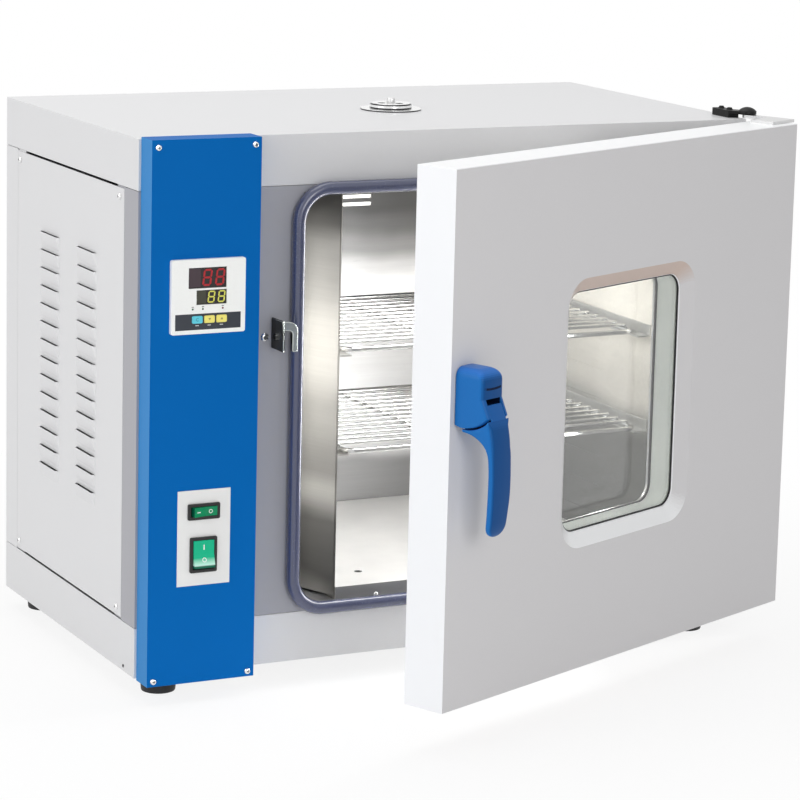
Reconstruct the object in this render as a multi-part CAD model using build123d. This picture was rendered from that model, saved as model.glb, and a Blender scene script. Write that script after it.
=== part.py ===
from build123d import *
import os
from math import cos, radians, sin, sqrt

os.makedirs("parts", exist_ok=True)

# Cabinet: x runs from its left side, y back from its front plane, z up from its underside.
body_w = 640.0
body_d = 354.0
body_h = 500.0
foot_h = 20.0
sheet = 1.2
touch = 0.05
run_fit = 0.05
over = 1.0
lip_h = 47.0
seam = 0.6

# Side panels with their gaps, the returns beside them and the screw flanges behind them.
front_return = 34.0
rear_return = 33.0
flange_w = 20.0
panel_gap_y = 0.5
panel_gap_z = 2.5
panel_screw_in = 8.0
screw_edge = 11.0
screw_head_r = 3.4
screw_head_h = 2.2
screw_shank_r = 1.6
screw_shank_l = 5.5
screw_hole_r = 1.9

# Louvres pressed out of the left panel, in two columns.
louvre_rows = 14
louvre_pitch = 17.6
louvre_first_z = 152.0
louvre_h = 13.0
louvre_proud = 3.5
louvre_taper = 4.0
louvre_wall = 0.9
louvre_front_y0 = 103.0
louvre_front_y1 = 153.0
louvre_rear_y0 = 202.0
louvre_rear_y1 = 253.0

# Chamber liner, set in behind the front frame's opening.
liner_x0 = 163.0
liner_right = 49.0
liner_x1 = body_w - liner_right
liner_z0 = 52.0
liner_top = 54.0
liner_z1 = body_h - liner_top
liner_rear = 27.0
liner_back = body_d - liner_rear
liner_sheet = 1.2
liner_flange = 8.0
back_slot_x0 = 331.0
back_slot_x1 = 391.0
back_slot_h = 4.0
back_slot_drop = 65.0
back_slot_z = liner_z1 - back_slot_drop
back_slot_pitch = 8.0
back_slot_depth = 10.0

# Duct panels left and right of the chamber, each with a slanted front return.
duct_w = 45.0
duct_x = liner_x0 + duct_w
duct_right_x = liner_x1 - duct_w
duct_gap = 3.5
duct_sheet = 1.0
duct_front = 11.0
duct_slope = 2.375
fan_slot_rows = 9
fan_slot_pitch = 14.0
fan_slot_h = 7.0
fan_slot_reach = 65.0
wall_slot_top = 20.0
wall_slot_pitch = 30.0
wall_slot_first_z = 88.0
wall_slot_len = 190.0
wall_slot_rear = 32.0
wall_slot_y = liner_back - wall_slot_rear - wall_slot_len / 2
duct_foot_h = 9.0
duct_foot_y0 = 130.0
duct_foot_rear = 27.0
duct_foot_y1 = liner_back - duct_foot_rear

# Shelf rails and wire shelves.
shelf_side = 10.0
shelf_x0 = duct_x + shelf_side
shelf_x1 = duct_right_x - shelf_side
shelf_y0 = 15.0
shelf_rear = 47.0
shelf_y1 = liner_back - shelf_rear
shelf_wire_z = (197.0, 293.0)
upper_shelf_in = 10.0
frame_rod_r = 2.5
wire_r = 1.5
weld = 0.4
cross_r = 2.0
cross_apart = 96.0
wire_count = 13
shelf_corner = 12.0
rail_ledge = 15.0
rail_sheet = 1.2
rail_up = 10.0
rail_clear = 0.25
rail_y0 = 16.0
rail_rear = 5.0
rail_y1 = liner_back - rail_rear

# Floor plate and heater under it.
floor_rise = 12.0
floor_z = liner_z0 + floor_rise
floor_sheet = 1.2
floor_y0 = 10.0
floor_rear = 1.0
floor_y1 = liner_back - floor_rear
floor_side_clear = 0.4
floor_side_foot = 30.0
floor_hole_in = 46.0
floor_hole_x = duct_x + floor_hole_in
floor_hole_y = floor_y0 + floor_hole_in
floor_hole_r = 4.0
heater_r = 3.2
heater_rise = 5.4
heater_z = liner_z0 + heater_rise
heater_y0 = 70.0
heater_bend = 20.0
heater_loop_w = 80.0
heater_side = 37.0
heater_loop_x = (duct_x + heater_side, duct_right_x - heater_side - heater_loop_w)
heater_plate_t = 2.0
heater_plate_w = 104.0
heater_plate_h = 9.6

# Fan in the left duct, with its motor in the control compartment.
partition_x = 111.0
fan_y = 190.0
fan_z = 250.0
fan_r = 74.0
fan_gap = 9.0
fan_x0 = liner_x0 + fan_gap
fan_w = 24.0
fan_x1 = fan_x0 + fan_w
fan_disc_t = 1.5
fan_blade_t = 1.2
fan_blade_len = 30.0
fan_blades = 12
fan_hub_r = 11.0
shaft_r = 4.0
motor_r = 42.0
motor_gap = 10.0
motor_x1 = partition_x - motor_gap
motor_len = 57.0
motor_x0 = motor_x1 - motor_len
motor_boss_r = 11.0
shaft_in = 31.0
motor_bore_end = motor_x1 - shaft_in
motor_flange_t = 3.0
motor_flange_w = 96.0
shaft_hole_r = 8.0
tunnel_r = 12.0

# Temperature probe on the chamber's back wall.
probe_side = 91.0
probe_x = liner_x1 - probe_side
probe_drop = 76.0
probe_z = liner_z1 - probe_drop
probe_r = 2.5
probe_len = 60.0
probe_nut_r = 7.0
probe_nut_t = 5.0
probe_tail = 10.0

# Door gasket on the front plane.
gasket_over = 13.0
gasket_under = 8.0
gasket_above = 10.0
gasket_x0 = liner_x0 - gasket_over
gasket_x1 = liner_x1 + gasket_over
gasket_z0 = liner_z0 - gasket_under
gasket_z1 = liner_z1 + gasket_above
gasket_corner = 38.0
gasket_r = 6.25
gasket_proud = 12.0

# Feet.
foot_x = 33.0
foot_y = 22.0
foot_top_r = 18.0
foot_bottom_r = 16.0
foot_screw_r = 2.5
foot_stud_in = 12.0
foot_nut_r = 5.0
foot_nut_h = 3.0

# Control panel, a folded box on the front's left side.
ctl_x0 = 2.3
ctl_x1 = 108.6
ctl_z0 = -1.8
ctl_over = 2.0
ctl_z1 = body_h + ctl_over
ctl_proud = 26.0
ctl_screw_in = 6.3
ctl_screw_x = (ctl_x0 + ctl_screw_in, ctl_x1 - ctl_screw_in)
ctl_screw_up = 5.0
ctl_screw_down = 7.0
ctl_screw_z = (ctl_z0 + ctl_screw_up, ctl_z1 - ctl_screw_down)
ctl_post_r = 3.2
cutout_in = 11.7
cutout_x0 = ctl_x0 + cutout_in
cutout_x1 = ctl_x1 - cutout_in
cutout_z0 = 60.0


# Temperature controller.
tc_left = 18.2
tc_top = 108.4
tc_w = 72.1
tc_h = 68.1
tc_x0 = ctl_x0 + tc_left
tc_x1 = tc_x0 + tc_w
tc_z1 = ctl_z1 - tc_top
tc_z0 = tc_z1 - tc_h
cutout_over = 46.4
cutout_z1 = tc_z1 + cutout_over
tc_proud = 4.5
tc_corner = 2.0
tc_body_in = 3.0
tc_body_depth = 60.0
tc_wall = 2.0
tc_window_depth = 2.4
display_t = 1.0
pv_left = 16.5
pv_up = 41.5
pv_w = 37.2
pv_h = 19.0
pv_x0 = tc_x0 + pv_left
pv_x1 = pv_x0 + pv_w
pv_z0 = tc_z0 + pv_up
pv_z1 = pv_z0 + pv_h
sv_left = 24.3
sv_up = 26.5
sv_w = 29.7
sv_h = 13.4
sv_x0 = tc_x0 + sv_left
sv_x1 = sv_x0 + sv_w
sv_z0 = tc_z0 + sv_up
sv_z1 = sv_z0 + sv_h
strip_left = 3.8
strip_up = 3.8
strip_w = 63.9
strip_h = 14.7
strip_x0 = tc_x0 + strip_left
strip_x1 = strip_x0 + strip_w
strip_z0 = tc_z0 + strip_up
strip_z1 = strip_z0 + strip_h
strip_t = 0.5
lamp_left = (20.7, 30.6, 50.0)
lamp_up = 22.7
lamp_x = [tc_x0 + left for left in lamp_left]
lamp_z = tc_z0 + lamp_up
lamp_r = 0.9
lamp_depth = 1.2
key_mid = 37.0
key_pitch = 11.85
key_up = 13.1
key_x = [tc_x0 + key_mid + i * key_pitch for i in (-1, 0, 1)]
key_z = tc_z0 + key_up
key_w = 10.2
key_h = 6.8
key_corner = 1.4
key_proud = 1.0
key_in = 2.0
key_travel = 0.7
key_clear = 0.25
key_names = ("set", "down", "up")

# Switch plate with its two rocker switches.
plate_left = 28.1
plate_w = 52.1
plate_h = 89.5
plate_x0 = ctl_x0 + plate_left
plate_x1 = plate_x0 + plate_w
plate_z0 = 90.5
plate_z1 = plate_z0 + plate_h
plate_t = 1.0
sw_side = 25.4
heat_sw_up = 69.5
heat_sw_x = plate_x0 + sw_side
heat_sw_z = plate_z0 + heat_sw_up
heat_bezel_l = 31.5
heat_bezel_w = 15.0
main_sw_up = 28.9
main_sw_x = plate_x0 + sw_side
main_sw_z = plate_z0 + main_sw_up
main_bezel_l = 33.2
main_bezel_w = 26.6
bezel_t = 2.0
bezel_corner = 1.5
rocker_body_in = 1.6
rocker_body_depth = 19.0
rocker_wall = 1.2
rocker_clear = 0.4
rocker_tilt = 8.0
rocker_pivot_in = 4.0
rocker_rise = 4.6
rocker_swing = 1.0
rocker_pin_r = 1.5
rocker_pin_l = 0.9
rocker_skirt = 1.0
rocker_belly = 4.0

# Vent on the top cover.
vent_from_right = 310.5
vent_x = body_w - vent_from_right
vent_y = 162.0
vent_flange_r = 30.0
vent_flange_t = 1.5
vent_pipe_r = 16.0
vent_pipe_t = 1.2
vent_cap_r = 20.7
vent_cap_h = 5.0
vent_cap_edge = 1.5
vent_port_r = 4.0
vent_port_ring = 10.0
vent_pin_r = 2.5
vent_knob_r = 4.2
vent_knob_h = 5.0
vent_lift = 0.1

# Door, in its closed place: pivot axis outboard of the cabinet's right side.
door_side_gap = 4.0
door_over = 0.8
door_top_over = 0.5
door_gap = 0.3
door_x0 = ctl_x1 + door_side_gap
door_x1 = body_w + door_over
door_z0 = 21.0
door_z1 = body_h + door_top_over
door_t = 43.5
door_rear = -gasket_proud - door_gap
door_front = door_rear - door_t
pivot_out = 5.0
pivot_x = body_w + pivot_out
pivot_y = 6.0
door_open = 23.8
recess_w = 200.0
recess_h = 250.0
recess_r = 30.0
recess_slope = 13.5
glass_w = recess_w - 2 * recess_slope
glass_h = recess_h - 2 * recess_slope
glass_r = 17.0
recess_depth = 9.0
glass_t = 4.0
glass_lap = 6.0
seal_t = 1.0
seal_in = 1.2
spacer_t = 1.5
rear_glass_at = 37.0
pan_lip = 9.0

# Latch: keeper on the cabinet, pocket and rod slot in the door.
lever_z = 306.0
rod_u = 25.3
keeper_left = 3.0
keeper_w = 15.5
keeper_under = 4.0
keeper_h = 29.0
keeper_t = 3.0
keeper_out = 27.0
keeper_web_t = 2.4
keeper_slot_w = 5.4
keeper_slot_h = 19.0
keeper_screw_left = 9.0
keeper_screw_up = 6.4
keeper_head_r = 4.4
pocket_side = 2.9
pocket_above = 4.0
pocket_below = 17.0
pocket_depth = 17.0
rod_slot_w = 8.0
rod_slot_below = 20.0
rod_slot_above = 7.0

# Handle: base on the door, lever pivoting in it, rod with a headed end.
base_u0 = 7.0
base_w = 26.6
base_top = 23.4
base_proud = 30.0
lever_out = 15.5
base_arc_r = 36.0
cheek_t = 2.2
base_front_t = 3.0
base_cap_t = 4.0
base_round = 11.0
base_edge_r = 2.0
front_wall_low = 3.0
groove_h = 1.6
groove_d = 1.0
mark_w = 11.0
mark_h = 6.0
mark_drop = 13.0
mark_d = 1.2
hub_r = 6.5
lever_pin_r = 2.5
lever_side_clear = 0.2
lever_edge_r = 2.6
rod_r = 2.3
rod_down = 14.0
rod_reach = 48.6
head_r = 5.5
head_t = 3.0

# Lever profile, as distances out from the door and down from the pin.
lever_root_out = 10.0
lever_root_drop = 33.0
lever_bend_out = 24.5
lever_bend_drop = 56.0
lever_palm_out = 34.5
lever_palm_drop = 82.0
lever_waist_out = 36.0
lever_waist_drop = 100.0
lever_tip_out = 32.5
lever_tip_drop = 117.0
lever_tip_t = 7.0
lever_tip_round = 3.2
lever_grip_out = 42.6
lever_grip_drop = 99.0
lever_bow_out = 44.0
lever_bow_drop = 74.0
lever_crown_out = 39.0
lever_crown_drop = 41.0
lever_front_gap = 0.6

# Hinges.
strap_t = 3.0
strap_eye_r = 4.7
strap_len = 33.0
strap_in = 9.8
strap_w = 26.0
strap_x0 = pivot_x - strap_len
strap_y0 = door_front + strap_in
strap_y1 = strap_y0 + strap_w
hinge_pin_r = 2.5
arm_w = 12.0
arm_x0 = body_w - arm_w
arm_y0 = 14.0
arm_y1 = 44.0
arm_pad_t = 4.0
arm_t = 3.2
knuckle_r = 9.0
dome_h = 4.0
arm_screw_in = 7.5
arm_screw_y = (arm_y0 + arm_screw_in, arm_y1 - arm_screw_in)
arm_screw_x = body_w - arm_w / 2
leaf_t = 3.0
leaf_y0 = 23.0
leaf_y1 = 60.0
leaf_z1 = lip_h - leaf_t
ear_t = 3.0
ear_drop = 3.0
ear_z1 = door_z0 - strap_t - ear_drop
ear_z0 = ear_z1 - ear_t
ear_clear = 0.3
leaf_screw_in = 9.5
leaf_screw_y = (leaf_y0 + leaf_screw_in, leaf_y1 - leaf_screw_in)
leaf_screw_z = leaf_z1 - leaf_screw_in

# Power inlet in the rear panel.
inlet_x = 60.0
inlet_z = 110.0
inlet_w = 27.4
inlet_h = 20.0
inlet_corner = 3.0
inlet_rim = 3.0
inlet_rim_t = 2.0
inlet_depth = 18.0
inlet_wall = 1.8
inlet_pin_w = 4.0
inlet_pin_t = 2.0
inlet_pin_l = 12.0
inlet_pin_apart = 7.0


def block(x0, x1, y0, y1, z0, z1):
    middle = Pos((x0 + x1) / 2, (y0 + y1) / 2, (z0 + z1) / 2)
    return middle * Box(x1 - x0, y1 - y0, z1 - z0)


def rod_z(r, x, y, z0, z1):
    return Pos(x, y, (z0 + z1) / 2) * Cylinder(r, z1 - z0)


def rod_y(r, x, z, y0, y1):
    return Pos(x, (y0 + y1) / 2, z) * Rot(90, 0, 0) * Cylinder(r, y1 - y0)


def rod_x(r, y, z, x0, x1):
    return Pos((x0 + x1) / 2, y, z) * Rot(0, 90, 0) * Cylinder(r, x1 - x0)


def prism_z(points, z0, z1):
    return Pos(0, 0, z0) * extrude(Polygon(*points, align=None), z1 - z0, dir=(0, 0, 1))


def prism_x(points, x0, x1):
    side = Plane(origin=(x0, 0, 0), x_dir=(0, 1, 0), z_dir=(1, 0, 0))
    return side.location * extrude(Polygon(*points, align=None), x1 - x0, dir=(0, 0, 1))


def prism_y(points, y0, y1):
    front = Plane(origin=(0, y1, 0), x_dir=(1, 0, 0), z_dir=(0, -1, 0))
    return front.location * extrude(Polygon(*points, align=None), y1 - y0, dir=(0, 0, 1))


def slab_y(w, h, r, x, z, y0, y1):
    face = extrude(RectangleRounded(w, h, r), (y1 - y0) / 2, both=True)
    return Pos(x, (y0 + y1) / 2, z) * Rot(90, 0, 0) * face


def slab_between(x0, x1, z0, z1, r, y0, y1):
    return slab_y(x1 - x0, z1 - z0, r, (x0 + x1) / 2, (z0 + z1) / 2, y0, y1)


def screw(head_r, head_h, shank_r, shank_l):
    head = Cone(head_r, head_r * 0.62, head_h, align=(Align.CENTER, Align.CENTER, Align.MIN))
    shank = Pos(0, 0, -shank_l / 2) * Cylinder(shank_r, shank_l)
    return head + shank


def facing(x, y, z, direction):
    return Plane(origin=(x, y, z), z_dir=direction).location


def save(node, shape):
    export_step(Pos(-foot_x, -foot_y, foot_h) * shape, f"parts/{node}.step")


def opened(shape):
    turn = Pos(pivot_x, pivot_y, 0) * Rot(0, 0, door_open) * Pos(-pivot_x, -pivot_y, 0)
    return turn * shape


# Base tray: the bottom with its upstanding lip.
tray = block(0, body_w, 0, body_d, 0, lip_h)
tray -= block(sheet, body_w - sheet, sheet, body_d - sheet, sheet, body_h)
foot_spots = [(x, y) for x in (foot_x, body_w - foot_x) for y in (foot_y, body_d - foot_y)]
for x, y in foot_spots:
    tray -= rod_z(foot_screw_r + touch, x, y, -over, sheet + over)
tray_leaf_hole = screw_shank_r + touch
for y in leaf_screw_y:
    tray -= rod_x(tray_leaf_hole, y, leaf_screw_z, body_w - 2 * sheet, body_w + over)
save("base_tray", tray)

# Feet moulded on studs that stand up through the tray and carry a nut each.
feet = []
foot_screws = []
for x, y in foot_spots:
    foot = Pos(x, y, -foot_h / 2) * Cone(foot_bottom_r, foot_top_r, foot_h)
    foot -= rod_z(foot_screw_r + touch, x, y, -foot_stud_in, over)
    feet.append(foot)
    stud = rod_z(foot_screw_r, x, y, -foot_stud_in, sheet + foot_nut_h)
    foot_screws.append(stud + rod_z(foot_nut_r, x, y, sheet, sheet + foot_nut_h))
save("feet", Compound(feet))
save("foot_screws", Compound(foot_screws))

# Top cover: the cap with its lip, drilled for the vent and the hinge arm.
cover_z0 = body_h - lip_h
cover = block(0, body_w, 0, body_d, cover_z0, body_h)
cover -= block(sheet, body_w - sheet, sheet, body_d - sheet, cover_z0 - over, body_h - sheet)
cover -= rod_z(vent_pipe_r + touch, vent_x, vent_y, body_h - 2 * sheet, body_h + over)
for y in arm_screw_y:
    cover -= rod_z(screw_shank_r + touch, arm_screw_x, y, body_h - 2 * sheet, body_h + over)
save("top_cover", cover)

# Front frame: plate with side returns and joggled flanges behind the side panels.
keeper_screw_x = door_x0 + rod_u - keeper_left - keeper_screw_left
keeper_screw_z = lever_z + keeper_screw_up
mid_z0 = lip_h + seam
mid_z1 = cover_z0 - seam
side_z0 = lip_h + panel_gap_z
side_z1 = cover_z0 - panel_gap_z
flange_x0 = sheet + touch
flange_x1 = flange_x0 + sheet
screw_y = (front_return + screw_edge, body_d - rear_return - panel_screw_in)
screw_z = (side_z0 + panel_screw_in, side_z1 - panel_screw_in)


def frame_side(return_y0, return_y1, flange_y0, flange_y1):
    """Left side return with its joggled flange; the mirror of it serves the right."""
    step_y = max(return_y0, flange_y0)
    step_end = min(return_y1, flange_y1)
    side = block(0, sheet, return_y0, return_y1, mid_z0, mid_z1)
    side += block(0, flange_x1, step_y, step_end, mid_z0, mid_z1)
    side += block(flange_x0, flange_x1, flange_y0, flange_y1, mid_z0, mid_z1)
    return side


def both_sides(shape):
    return shape + Pos(body_w, 0, 0) * mirror(shape, Plane.YZ)


front = block(0, body_w, 0, sheet, mid_z0, mid_z1)
front_joggle = front_return - sheet
front_side = frame_side(0, front_return, front_joggle, front_return + flange_w)
front += both_sides(front_side)
front -= block(liner_x0, liner_x1, -over, 2 * sheet, liner_z0, liner_z1)
front -= block(cutout_x0, cutout_x1, -over, 2 * sheet, cutout_z0, cutout_z1)
front -= rod_y(screw_shank_r + touch, keeper_screw_x, keeper_screw_z, -over, 2 * sheet)
for z in screw_z:
    front -= rod_x(screw_hole_r, screw_y[0], z, -over, body_w + over)
save("front_frame", front)

# Rear panel with its returns, and the inlet's cut-out.
rear_y0 = body_d - rear_return
rear = block(0, body_w, body_d - sheet, body_d, mid_z0, mid_z1)
rear_side = frame_side(rear_y0, body_d, rear_y0 - flange_w, rear_y0 + sheet)
rear += both_sides(rear_side)
inlet_hole_y = body_d - 2 * sheet
rear -= slab_y(inlet_w, inlet_h, inlet_corner, inlet_x, inlet_z, inlet_hole_y, body_d + over)
for z in screw_z:
    rear -= rod_x(screw_hole_r, screw_y[1], z, -over, body_w + over)
save("rear_panel", rear)

# Side panels: plain on the right, two columns of louvres on the left.
panel_y0 = front_return + panel_gap_y
panel_y1 = rear_y0 - panel_gap_y


def side_sheet(x0):
    panel = block(x0, x0 + sheet, panel_y0, panel_y1, side_z0, side_z1)
    for y in screw_y:
        for z in screw_z:
            panel -= rod_x(screw_hole_r, y, z, x0 - over, x0 + 2 * sheet)
    return panel


def hood(y0, y1, z_top, inset):
    """A wedge open at its top, tapered at both ends; inset shrinks it to the hollow."""
    reach = louvre_proud - inset
    drop = louvre_h * reach / louvre_proud
    back = inset * 1.5
    taper = louvre_taper * reach / louvre_proud
    y_low = y0 + inset
    y_high = y1 - inset
    rise = inset * 0.01
    wedge = [(back, z_top + rise), (-reach, z_top + rise), (0, z_top - drop), (back, z_top - drop)]
    ends = [(back, y_low), (0, y_low), (-reach, y_low + taper)]
    ends += [(-reach, y_high - taper), (0, y_high), (back, y_high)]
    return prism_y(wedge, y_low, y_high) & prism_z(ends, z_top - louvre_h, z_top + rise)


left_panel = side_sheet(0)
hoods = []
hollows = []
for row in range(louvre_rows):
    top = louvre_first_z + row * louvre_pitch
    for y0, y1 in ((louvre_front_y0, louvre_front_y1), (louvre_rear_y0, louvre_rear_y1)):
        hoods.append(hood(y0, y1, top, 0))
        hollows.append(hood(y0, y1, top, louvre_wall))
left_panel = left_panel + hoods
left_panel = left_panel - hollows
save("left_side_panel", left_panel)
save("right_side_panel", side_sheet(body_w - sheet))

# Panel screws on both sides; those of the control panel join them below.
side_screws = []
for y in screw_y:
    for z in screw_z:
        plain = screw(screw_head_r, screw_head_h, screw_shank_r, screw_shank_l)
        side_screws.append(facing(0, y, z, (-1, 0, 0)) * plain)
        side_screws.append(facing(body_w, y, z, (1, 0, 0)) * plain)

# Partition between the control compartment and the insulated chamber.
partition_x1 = partition_x + sheet
inner_y1 = body_d - sheet
inner_z1 = body_h - sheet
partition = block(partition_x, partition_x1, sheet, inner_y1, sheet, inner_z1)
partition -= rod_x(motor_boss_r + touch, fan_y, fan_z, partition_x - over, partition_x1 + over)
save("partition", partition)

# Chamber liner: a box open at the front, with a flange against the front frame.
liner_out_x0 = liner_x0 - liner_sheet
liner_out_x1 = liner_x1 + liner_sheet
liner_out_z0 = liner_z0 - liner_sheet
liner_out_z1 = liner_z1 + liner_sheet
liner_out_y1 = liner_back + liner_sheet
liner_front = sheet + liner_sheet
liner_outer = block(liner_out_x0, liner_out_x1, sheet, liner_out_y1, liner_out_z0, liner_out_z1)
liner = liner_outer + block(
    liner_out_x0 - liner_flange,
    liner_out_x1 + liner_flange,
    sheet,
    liner_front,
    liner_out_z0 - liner_flange,
    liner_out_z1,
)
liner -= block(liner_x0, liner_x1, 0, liner_back, liner_z0, liner_z1)
liner -= rod_z(vent_pipe_r + touch, vent_x, vent_y, liner_z1 - over, liner_out_z1 + over)
liner -= rod_x(shaft_hole_r, fan_y, fan_z, liner_out_x0 - over, liner_x0 + over)
liner -= rod_y(probe_r + touch, probe_x, probe_z, liner_back - over, liner_out_y1 + over)
back_slots = []
for row in range(2):
    z = back_slot_z + row * back_slot_pitch
    z_low = z - back_slot_h / 2
    z_high = z + back_slot_h / 2
    slot_y1 = liner_out_y1 + back_slot_depth
    back_slots.append(block(back_slot_x0, back_slot_x1, liner_back - over, slot_y1, z_low, z_high))
liner = liner - back_slots
save("chamber_liner", liner)

# Insulation around the liner, cleared for the vent pipe, shaft, probe and screws.
wool_x1 = body_w - flange_x1 - touch
wool_z0 = sheet + foot_nut_h + sheet
wool = block(partition_x1, wool_x1, liner_front, inner_y1, wool_z0, inner_z1)
wool -= liner_outer
wool -= rod_z(vent_pipe_r + touch, vent_x, vent_y, liner_out_z1 - over, inner_z1 + over)
wool -= rod_x(tunnel_r, fan_y, fan_z, partition_x, liner_out_x0 + over)
wool -= rod_y(2 * probe_r, probe_x, probe_z, liner_out_y1 - over, liner_out_y1 + 2 * probe_tail)
wool -= rod_y(2 * screw_shank_r, keeper_screw_x, keeper_screw_z, 0, 2 * screw_shank_l)
for y in arm_screw_y:
    wool -= rod_z(2 * screw_shank_r, arm_screw_x, y, body_h - 2 * screw_shank_l, body_h)
for y in leaf_screw_y:
    wool -= rod_x(2 * screw_shank_r, y, leaf_screw_z, body_w - 2 * screw_shank_l, body_w)
for y in screw_y:
    for z in screw_z:
        wool -= rod_x(2 * screw_shank_r, y, z, body_w - 2 * screw_shank_l, body_w)
for slot in back_slots:
    wool -= slot
save("insulation", wool)

# Duct panels: the left one slotted in front of the fan, the right one in rows.
duct_inner_x = duct_x - duct_sheet
duct_depth = duct_front + duct_w * duct_slope
lap = duct_sheet * sqrt(1 + duct_slope**2)


def duct_panel(slots):
    plate = block(duct_inner_x, duct_x, duct_front, liner_back, liner_z0, liner_z1)
    fold_y = duct_front + duct_sheet * duct_slope + lap
    slant = [
        (duct_x, duct_front),
        (liner_x0, duct_depth),
        (liner_x0, duct_depth + lap),
        (duct_inner_x, fold_y),
        (duct_x, fold_y - duct_sheet * duct_slope),
    ]
    plate += prism_z(slant, liner_z0 + duct_gap, liner_z1)
    for length, height, y, z in slots:
        cut = extrude(SlotOverall(length, height), 3 * duct_sheet)
        start = (duct_inner_x - duct_sheet, y, z)
        plate -= Plane(origin=start, x_dir=(0, 1, 0), z_dir=(1, 0, 0)).location * cut
    foot_top = liner_z0 + duct_foot_h
    plate -= block(duct_inner_x - over, duct_x + over, duct_foot_y0, duct_foot_y1, liner_z0, foot_top)
    return plate


fan_slots = []
for row in range(fan_slot_rows):
    rise = (row - (fan_slot_rows - 1) / 2) * fan_slot_pitch
    reach = sqrt(fan_slot_reach**2 - rise**2)
    fan_slots.append((2 * reach, fan_slot_h, fan_y, fan_z + rise))
wall_slots = []
slot_run = liner_z1 - wall_slot_top - wall_slot_first_z
wall_slot_rows = 1 + int(slot_run / wall_slot_pitch)
for row in range(wall_slot_rows):
    z = wall_slot_first_z + row * wall_slot_pitch
    wall_slots.append((wall_slot_len, fan_slot_h, wall_slot_y, z))
right_wall = mirror(duct_panel(wall_slots), Plane.YZ)
save("left_duct_panel", duct_panel(fan_slots))
save("right_duct_panel", Pos(liner_x0 + liner_x1, 0, 0) * right_wall)

# Shelf rails, an angle on each duct panel under each shelf.
rails = []
for wire_z in shelf_wire_z:
    rod_drop = frame_rod_r + wire_r - weld
    ledge_z1 = wire_z - rod_drop - frame_rod_r - rail_clear
    ledge_z0 = ledge_z1 - rail_sheet
    left_x1 = duct_x + rail_ledge
    left = block(duct_x, left_x1, rail_y0, rail_y1, ledge_z0, ledge_z1)
    left += block(duct_x, duct_x + rail_sheet, rail_y0, rail_y1, ledge_z0, ledge_z1 + rail_up)
    rails.append(left)
    rails.append(Pos(liner_x0 + liner_x1, 0, 0) * mirror(left, Plane.YZ))
save("shelf_rails", Compound(rails))


# Wire shelves: a bent rod frame, close wires across it and two rods under them.
def wire_shelf(wire_z, pushed_in):
    rod_z_mid = wire_z - (frame_rod_r + wire_r - weld)
    ring_w = shelf_x1 - shelf_x0 - 2 * frame_rod_r
    ring_d = shelf_y1 - shelf_y0 - 2 * frame_rod_r
    mid_x = (shelf_x0 + shelf_x1) / 2
    mid_y = (shelf_y0 + shelf_y1) / 2
    path = RectangleRounded(ring_w, ring_d, shelf_corner).wire()
    start = Plane(origin=path @ 0, z_dir=path % 0)
    ring = sweep(start.location * Circle(frame_rod_r), path=path)
    shelf = Pos(mid_x, mid_y, rod_z_mid) * ring
    wires = []
    pitch = ring_d / (wire_count + 1)
    for i in range(wire_count):
        y = shelf_y0 + frame_rod_r + pitch * (i + 1)
        wires.append(rod_x(wire_r, y, wire_z, shelf_x0 + wire_r, shelf_x1 - wire_r))
    for x in (mid_x - cross_apart / 2, mid_x + cross_apart / 2):
        cross_z = wire_z - (wire_r + cross_r - weld)
        wires.append(rod_y(cross_r, x, cross_z, shelf_y0 + frame_rod_r, shelf_y1 - frame_rod_r))
    return Pos(0, pushed_in, 0) * (shelf + wires)


save("lower_shelf", wire_shelf(shelf_wire_z[0], 0))
save("upper_shelf", wire_shelf(shelf_wire_z[1], upper_shelf_in))

# Floor plate over the heater, with a front lip and a foot fold at each corner.
plate_left = duct_x + floor_side_clear
plate_right = duct_right_x - floor_side_clear
floor_plate = block(plate_left, plate_right, floor_y0, floor_y1, floor_z - floor_sheet, floor_z)
lip_y1 = floor_y0 + floor_sheet
floor_plate += block(plate_left, plate_right, floor_y0, lip_y1, liner_z0, floor_z)
for y0 in (floor_y0, floor_y1 - floor_side_foot):
    for x0 in (plate_left, plate_right - floor_sheet):
        x1 = x0 + floor_sheet
        floor_plate += block(x0, x1, y0, y0 + floor_side_foot, liner_z0, floor_z)
floor_plate -= rod_z(floor_hole_r, floor_hole_x, floor_hole_y, liner_z0, floor_z + over)
save("floor_plate", floor_plate)


# Heater: two looped rods, each on its own plate against the chamber's back wall.
def heater_loop(x0):
    x1 = x0 + heater_loop_w
    y1 = liner_back - heater_plate_t
    path = FilletPolyline(
        (x0, y1, heater_z),
        (x0, heater_y0, heater_z),
        (x1, heater_y0, heater_z),
        (x1, y1, heater_z),
        radius=heater_bend,
    )
    start = Plane(origin=path @ 0, z_dir=path % 0)
    loop = sweep(start.location * Circle(heater_r), path=path)
    spare = (heater_plate_w - heater_loop_w) / 2
    low = heater_z - heater_plate_h / 2
    return loop + block(x0 - spare, x1 + spare, y1, liner_back, low, low + heater_plate_h)


save("heaters", Compound([heater_loop(x) for x in heater_loop_x]))

# Fan motor on the partition, with a bored boss reaching through it.
motor = rod_x(motor_r, fan_y, fan_z, motor_x0, motor_x1)
flange_x = partition_x - motor_flange_t
half = motor_flange_w / 2
motor += block(flange_x, partition_x, fan_y - half, fan_y + half, fan_z - half, fan_z + half)
motor += rod_x(motor_boss_r, fan_y, fan_z, motor_x1, partition_x1)
motor -= rod_x(shaft_r + run_fit, fan_y, fan_z, motor_bore_end, partition_x1 + over)
save("fan_motor", motor)

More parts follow.
